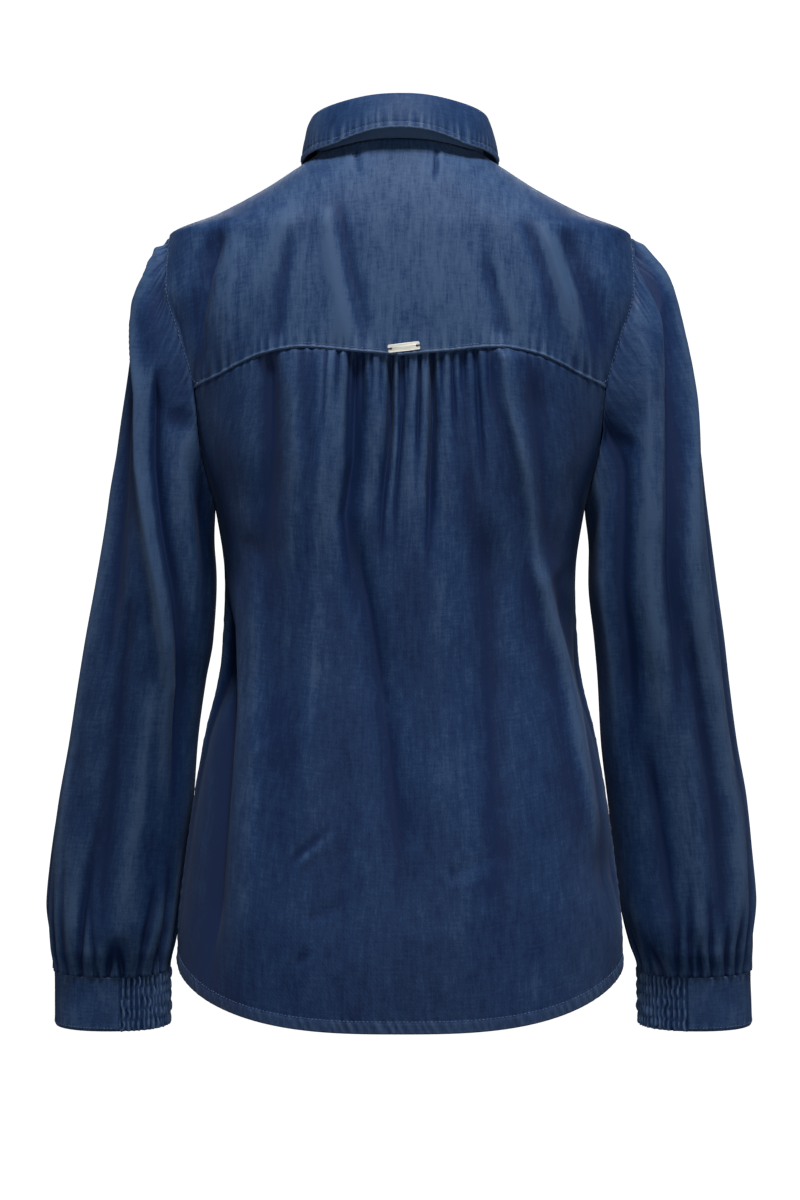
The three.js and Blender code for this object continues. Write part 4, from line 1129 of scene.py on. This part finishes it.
def makeFall():
    points, away = fallGrid()
    arcs = lengthsDown(points)
    toEdge = arcs[-1:] - arcs
    along = lengthsAlong(points[-1])[None, :]
    ends = np.minimum(along, along[:, -1:] - along)
    near = np.minimum(toEdge, ends)
    puckerLift, puckerWear = pucker(along, np.maximum(near - 4, 0), "fall")
    line = -0.35 * np.exp(-(((near - collarShape["stitchLine"]) / 0.9) ** 2))
    rim = smooth((2.0 - near) / 1.3)
    lift = puckerLift + line + 0.5 * smooth((4.6 - near) / 1.5) * smooth(near / 0.8)
    lift = lift + folds(collarShape["creases"], along + 0 * arcs, toEdge)
    wear = 0.75 * rim + 0.5 * puckerWear * smooth(near / 2)
    uv = np.stack([along + 0 * arcs, arcs], axis=-1)
    return shell("collarFallCloth", points, uv, lift, wear, "collar_fall",
                 wall=collarShape["wall"], outward=away)


pieces = {}
pieces["back"] = makeBack()
pieces["yoke"] = makeYoke()
print("back and yoke ready")
for sideName in sides:
    pieces["front_" + sideName] = makeFront(sideName)
    pieces["sleeve_" + sideName] = makeSleeve(sideName)
    pieces["band_" + sideName] = makeBand(sideName)
    pieces["shirred_" + sideName] = makeShirred(sideName)
pieces["stand"] = makeStand()
pieces["fall"] = makeFall()
for key, piece in pieces.items():
    piece.data.materials.append(finishes[key.split("_")[0]])
print("cloth ready")

# Stitching: one small stitch, repeated along lines that follow the cloth

stitch = {"length": 2.3, "pitch": 3.1, "width": 0.55, "height": 0.42, "proud": 0.12}
threadColour = (0.085, 0.145, 0.255)


def edgeLine(name, edge, distance, keep=None):
    # points of a cloth at one distance from its "top" or "bottom" row, and the normals there
    points, normals = cloths[name]["points"], cloths[name]["normals"]
    if edge == "bottom":
        points, normals = points[::-1], normals[::-1]
    reach = lengthsDown(points)
    row = np.clip((reach < distance * mm).sum(axis=0) - 1, 0, len(points) - 2)
    columns = np.arange(points.shape[1])
    near, far = reach[row, columns], reach[row + 1, columns]
    share = np.clip((distance * mm - near) / np.maximum(far - near, 1e-9), 0, 1)[:, None]
    line = lerp(points[row, columns], points[row + 1, columns], share)
    facing = lerp(normals[row, columns], normals[row + 1, columns], share)
    if keep is not None:
        chosen = keep(line / mm)
        line, facing = line[chosen], facing[chosen]
    return line, facing


def smallStitch():
    deselectAll()
    bpy.ops.mesh.primitive_uv_sphere_add(segments=6, ring_count=4, radius=0.5)
    template = bpy.context.object
    corners = np.array([tuple(v.co) for v in template.data.vertices])
    faces = [tuple(f.vertices) for f in template.data.polygons]
    bpy.data.objects.remove(template)
    # long along its own x, flat along its own z
    return corners[:, [2, 0, 1]] * (stitch["length"], stitch["width"], stitch["height"]), faces


stitchCorners, stitchFaces = smallStitch()


def plainFinish(name, colour, roughness, metallic=0.0):
    finish = bpy.data.materials.new(name)
    finish.use_nodes = True
    shader = finish.node_tree.nodes["Principled BSDF"]
    shader.inputs["Base Color"].default_value = (*colour, 1)
    shader.inputs["Roughness"].default_value = roughness
    shader.inputs["Metallic"].default_value = metallic
    return finish


def objectNoise(tree, **sockets):
    place = tree.nodes.new("ShaderNodeTexCoord").outputs["Object"]
    noise = addNode(tree, "ShaderNodeTexNoise", **sockets)
    tree.links.new(place, noise.inputs["Vector"])
    return noise.outputs["Fac"]


def threadFinish(name, colour):
    # spun thread: darker and paler flecks along the strand
    finish = plainFinish(name, colour, 0.7)
    tree = finish.node_tree
    flecks = colourRamp(tree, objectNoise(tree, Scale=900.0, Detail=2.0),
                        [(0, [0.55 * c for c in colour]), (1, [1.5 * c for c in colour])])
    tree.links.new(flecks, tree.nodes["Principled BSDF"].inputs["Base Color"])
    return finish


thread = threadFinish("thread", threadColour)


def sampled(marks, run, values):
    return np.stack([np.interp(marks, run, values[:, k]) for k in range(3)], -1)


def sew(name, lines, pitch=stitch["pitch"]):
    pitch = pitch * mm
    corners, faces = [], []
    for line, facing in lines:
        run = lengthsAlong(line)
        if run[-1] < 2 * pitch:
            continue
        marks = np.arange(pitch / 2, run[-1], pitch)
        at, up = sampled(marks, run, line), sampled(marks, run, facing)
        step = sampled(marks + pitch / 3, run, line) - sampled(marks - pitch / 3, run, line)
        forward = step / np.maximum(np.linalg.norm(step, axis=-1, keepdims=True), 1e-9)
        aside = np.cross(up, forward)
        aside /= np.maximum(np.linalg.norm(aside, axis=-1, keepdims=True), 1e-9)
        up = np.cross(forward, aside)
        # no stitch lies across a jump to the line's next stretch
        for i in np.flatnonzero(np.linalg.norm(step, axis=-1) < pitch * 1.5):
            start = len(corners) * len(stitchCorners)
            axes = np.stack([forward[i], aside[i], up[i]])
            corners.append(at[i] + up[i] * stitch["proud"] * mm + stitchCorners * mm @ axes)
            faces += [tuple(start + k for k in face) for face in stitchFaces]
    mesh = bpy.data.meshes.new(name)
    mesh.from_pydata(np.concatenate(corners).tolist(), [], faces)
    piece = bpy.data.objects.new(name, mesh)
    bpy.context.scene.collection.objects.link(piece)
    mesh.materials.append(thread)
    choose(piece)
    bpy.ops.object.mode_set(mode="EDIT")
    bpy.ops.mesh.select_all(action="SELECT")
    bpy.ops.mesh.normals_make_consistent(inside=False)
    bpy.ops.object.mode_set(mode="OBJECT")
    bpy.ops.object.shade_smooth()
    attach(piece, "root")


def onBackSeam(points):
    # the yoke's lower edge without its armholes and shoulders
    x, y, z = points.T
    level = seamLevel(np.clip(np.abs(x) / column(body, "half", z), 0, 1))
    return (y > 0) & (np.abs(z - level) < 5) & (np.abs(x) < 158)


def onYokeArmhole(points, side):
    x, y, z = points.T
    return (y > -60) & (x * side > 152) & (z < -56) & (z > -178)


sew("stitchesYoke", [edgeLine("yokeCloth", "bottom", away, onBackSeam) for away in (1.7, 4.4)], 2.9)
sew("stitchesArmholes", [edgeLine("yokeCloth", "bottom", 3.0, lambda points: onYokeArmhole(points, side))
                         for side in sides.values()])
sew("stitchesHem", [edgeLine(name, "bottom", hem["band"] + 0.2)
                    for name in ("backCloth", "frontCloth_left", "frontCloth_right")])
sew("stitchesCollar", [edgeLine("collarFallCloth", "bottom", collarShape["stitchLine"]),
                       edgeLine("collarStandCloth", "top", 2.4),
                       edgeLine("collarStandCloth", "bottom", 2.4)], 2.8)
sew("stitchesCuffs", [edgeLine("cuffBandCloth_" + sideName, "bottom", 3.0) for sideName in sides], 2.8)
print("stitching ready")

# Buttons: a turned rim round a sunk middle with four holes, sewn on with a cross of thread

button = {"radius": 5.5, "thick": 2.2, "rim": 1.3, "sunk": 0.55, "slope": 0.5, "hole": 0.75, "apart": 1.35,
          "soft": 0.22, "strand": 0.24, "first": -112, "pitch": 82, "count": 7, "gap": 0.9}


def resinFinish():
    finish = plainFinish("buttonResin", (0.05, 0.075, 0.13), 0.28)
    tree = finish.node_tree
    swirl = colourRamp(tree, objectNoise(tree, Scale=240.0, Detail=3.0, Distortion=1.5),
                       [(0.3, (0.025, 0.04, 0.075)), (0.7, (0.085, 0.12, 0.19))])
    tree.links.new(swirl, tree.nodes["Principled BSDF"].inputs["Base Color"])
    return finish


def cutHoles(piece, places, radius, depth):
    for x, y in places:
        deselectAll()
        bpy.ops.mesh.primitive_cylinder_add(vertices=20, radius=radius * mm, depth=depth * mm,
                                            location=(x * mm, y * mm, 0))
        drill = bpy.context.object
        choose(piece)
        hole = piece.modifiers.new("hole", "BOOLEAN")
        hole.object = drill
        hole.operation = "DIFFERENCE"
        hole.solver = "EXACT"
        bpy.ops.object.modifier_apply(modifier="hole")
        bpy.data.objects.remove(drill)


def softenEdges(piece, width):
    soft = piece.modifiers.new("soft", "BEVEL")
    soft.width = width * mm
    soft.segments = 2
    soft.limit_method = "ANGLE"
    soft.angle_limit = 40 * degree
    choose(piece)
    bpy.ops.object.modifier_apply(modifier="soft")
    bpy.ops.object.shade_smooth_by_angle(angle=40 * degree)


def addStrand(radius, length, place, turned):
    deselectAll()
    bpy.ops.mesh.primitive_cylinder_add(vertices=8, radius=radius * mm, depth=length * mm,
                                        location=Vector(place) * mm, rotation=turned)
    return bpy.context.object


def joined(strands):
    deselectAll()
    for strand in strands:
        strand.select_set(True)
    bpy.context.view_layer.objects.active = strands[0]
    bpy.ops.object.join()
    bpy.ops.object.transform_apply(location=True, rotation=True, scale=True)
    return bpy.context.object


def selectFaces(piece, test):
    choose(piece)
    bpy.ops.object.mode_set(mode="EDIT")
    bpy.ops.mesh.select_mode(type="FACE")
    bpy.ops.mesh.select_all(action="DESELECT")
    work = bmesh.from_edit_mesh(piece.data)
    for face in work.faces:
        face.select = test(face)
    bmesh.update_edit_mesh(piece.data)


def modelButton():
    deselectAll()
    bpy.ops.mesh.primitive_cylinder_add(vertices=40, radius=button["radius"] * mm, depth=button["thick"] * mm)
    piece = bpy.context.object
    selectFaces(piece, lambda face: face.normal.z > 0.9)
    bpy.ops.mesh.inset(thickness=button["rim"] * mm)
    bpy.ops.mesh.inset(thickness=button["slope"] * mm, depth=-button["sunk"] * mm)
    bpy.ops.object.mode_set(mode="OBJECT")
    apart = button["apart"]
    cutHoles(piece, [(-apart, -apart), (apart, -apart), (-apart, apart), (apart, apart)], button["hole"], 8)
    softenEdges(piece, button["soft"])
    length = 2 * math.sqrt(2) * apart + 0.5
    level = button["thick"] / 2 - button["sunk"] + 0.22
    strands = []
    for turned in (45 * degree, -45 * degree):
        for offset in (-0.28, 0.28):
            place = (-math.sin(turned) * offset, math.cos(turned) * offset, level)
            strands.append(addStrand(button["strand"], length, place, (0, math.pi / 2, turned)))
    cross = joined(strands)
    bpy.ops.object.shade_smooth()
    cross.data.materials.append(thread)
    return piece, cross


def frontFace(z):
    # place and outward direction at the middle of the front
    here = bodyPoint(np.array(math.pi), np.array(float(z)))
    low, high = (bodyPoint(np.array(math.pi), np.array(z + step)) for step in (-1.0, 1.0))
    slope = high - low
    outward = np.array([0, -slope[2], slope[1]])
    return here, outward / np.linalg.norm(outward)


def standFace():
    point, away = standPoint(np.array([math.pi]), np.array([0.5]))
    return point[0], away[0]


def placeCopy(source, name, here, outward):
    copy = bpy.data.objects.new(name, source.data.copy())
    bpy.context.scene.collection.objects.link(copy)
    copy.rotation_mode = "QUATERNION"
    copy.rotation_quaternion = Vector((0, 0, 1)).rotation_difference(Vector(outward))
    copy.location = Vector(here) * mm
    choose(copy)
    bpy.ops.object.transform_apply(location=True, rotation=True, scale=True)
    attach(copy, "root")
    return copy


def makeButtons():
    disc, cross = modelButton()
    disc.data.materials.append(resinFinish())
    places = {str(i + 1): frontFace(button["first"] - i * button["pitch"]) for i in range(button["count"])}
    places["stand"] = standFace()
    for name, (here, outward) in places.items():
        middle = here + outward * (button["gap"] + button["thick"] / 2)
        copy = placeCopy(disc, "buttonDisc_" + name, middle, outward)
        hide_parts("button_" + name)
        placeCopy(cross, "buttonThread_" + name, middle, outward)
    bpy.data.objects.remove(disc)
    bpy.data.objects.remove(cross)


makeButtons()
print("buttons ready")

# Plate: a small brushed metal plate on the yoke, sewn on through a hole at each end; its face is bare

plate = {"length": 25, "height": 6.4, "thick": 0.9, "corner": 1.4, "hole": 0.95, "holesApart": 20.3,
         "soft": 0.16, "strand": 0.3, "x": -3, "z": -152.6, "tilt": 7, "gap": 0.4}


def brushedMetal():
    finish = plainFinish("brushedPlate", (0.86, 0.84, 0.76), 0.5, 0.6)
    tree = finish.node_tree
    place = tree.nodes.new("ShaderNodeTexCoord").outputs["Object"]
    mapping = addNode(tree, "ShaderNodeMapping", Scale=(160, 400, 4200))
    tree.links.new(place, mapping.inputs["Vector"])
    noise = addNode(tree, "ShaderNodeTexNoise", Scale=1.0, Detail=3.0)
    tree.links.new(mapping.outputs["Vector"], noise.inputs["Vector"])
    bump = addNode(tree, "ShaderNodeBump", Strength=0.18, Distance=0.0001)
    tree.links.new(noise.outputs["Fac"], bump.inputs["Height"])
    tree.links.new(bump.outputs["Normal"], tree.nodes["Principled BSDF"].inputs["Normal"])
    streaky = tree.nodes.new("ShaderNodeMapRange")
    streaky.inputs["To Min"].default_value = 0.34
    streaky.inputs["To Max"].default_value = 0.52
    tree.links.new(noise.outputs["Fac"], streaky.inputs["Value"])
    tree.links.new(streaky.outputs["Result"], tree.nodes["Principled BSDF"].inputs["Roughness"])
    return finish


def makePlate():
    deselectAll()
    bpy.ops.mesh.primitive_cube_add(size=1)
    piece = bpy.context.object
    piece.name = "metalPlate"
    piece.scale = (plate["length"] * mm, plate["height"] * mm, plate["thick"] * mm)
    bpy.ops.object.transform_apply(location=False, rotation=False, scale=True)
    bpy.ops.object.mode_set(mode="EDIT")
    bpy.ops.mesh.select_mode(type="EDGE")
    bpy.ops.mesh.select_all(action="DESELECT")
    work = bmesh.from_edit_mesh(piece.data)
    for edge in work.edges:
        edge.select = abs(edge.verts[0].co.z - edge.verts[1].co.z) > 0.5 * plate["thick"] * mm
    bmesh.update_edit_mesh(piece.data)
    bpy.ops.mesh.bevel(offset=plate["corner"] * mm, segments=6)
    bpy.ops.object.mode_set(mode="OBJECT")
    half = plate["holesApart"] / 2
    cutHoles(piece, [(-half, 0), (half, 0)], plate["hole"], 6)
    softenEdges(piece, plate["soft"])
    piece.data.materials.append(brushedMetal())
    reach = plate["length"] / 2 - half + 0.7
    strands = []
    for end in (-1, 1):
        for offset in (-0.3, 0.3):
            place = (end * (half + reach / 2 - 0.2), offset, plate["thick"] / 2 + 0.15)
            strands.append(addStrand(plate["strand"], reach, place, (0, math.pi / 2 + end * 0.14, 0)))
    loops = joined(strands)
    loops.name = "plateThread"
    loops.data.materials.append(threadFinish("plateThread", (0.01, 0.014, 0.03)))
    z = np.array(float(plate["z"]))
    angle = np.arctan2(plate["x"] / bodyRing(z, np.array(True))[0], 1)
    here = bodyPoint(angle, z)
    slope = bodyPoint(angle, z + 1) - bodyPoint(angle, z - 1)
    aside = bodyPoint(angle + 0.01, z) - bodyPoint(angle - 0.01, z)
    outward = np.cross(slope, aside)
    outward = outward / np.linalg.norm(outward) * np.sign(outward[1])
    turn = Vector((0, 0, 1)).rotation_difference(Vector(outward))
    for part in (piece, loops):
        part.rotation_mode = "QUATERNION"
        part.rotation_quaternion = turn @ Quaternion((0, 0, 1), plate["tilt"] * degree)
        part.location = Vector(here + outward * (plate["gap"] + plate["thick"] / 2)) * mm
        choose(part)
        bpy.ops.object.transform_apply(location=True, rotation=True, scale=True)
        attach(part, "root")
    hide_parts("plate")


makePlate()
print("plate ready")
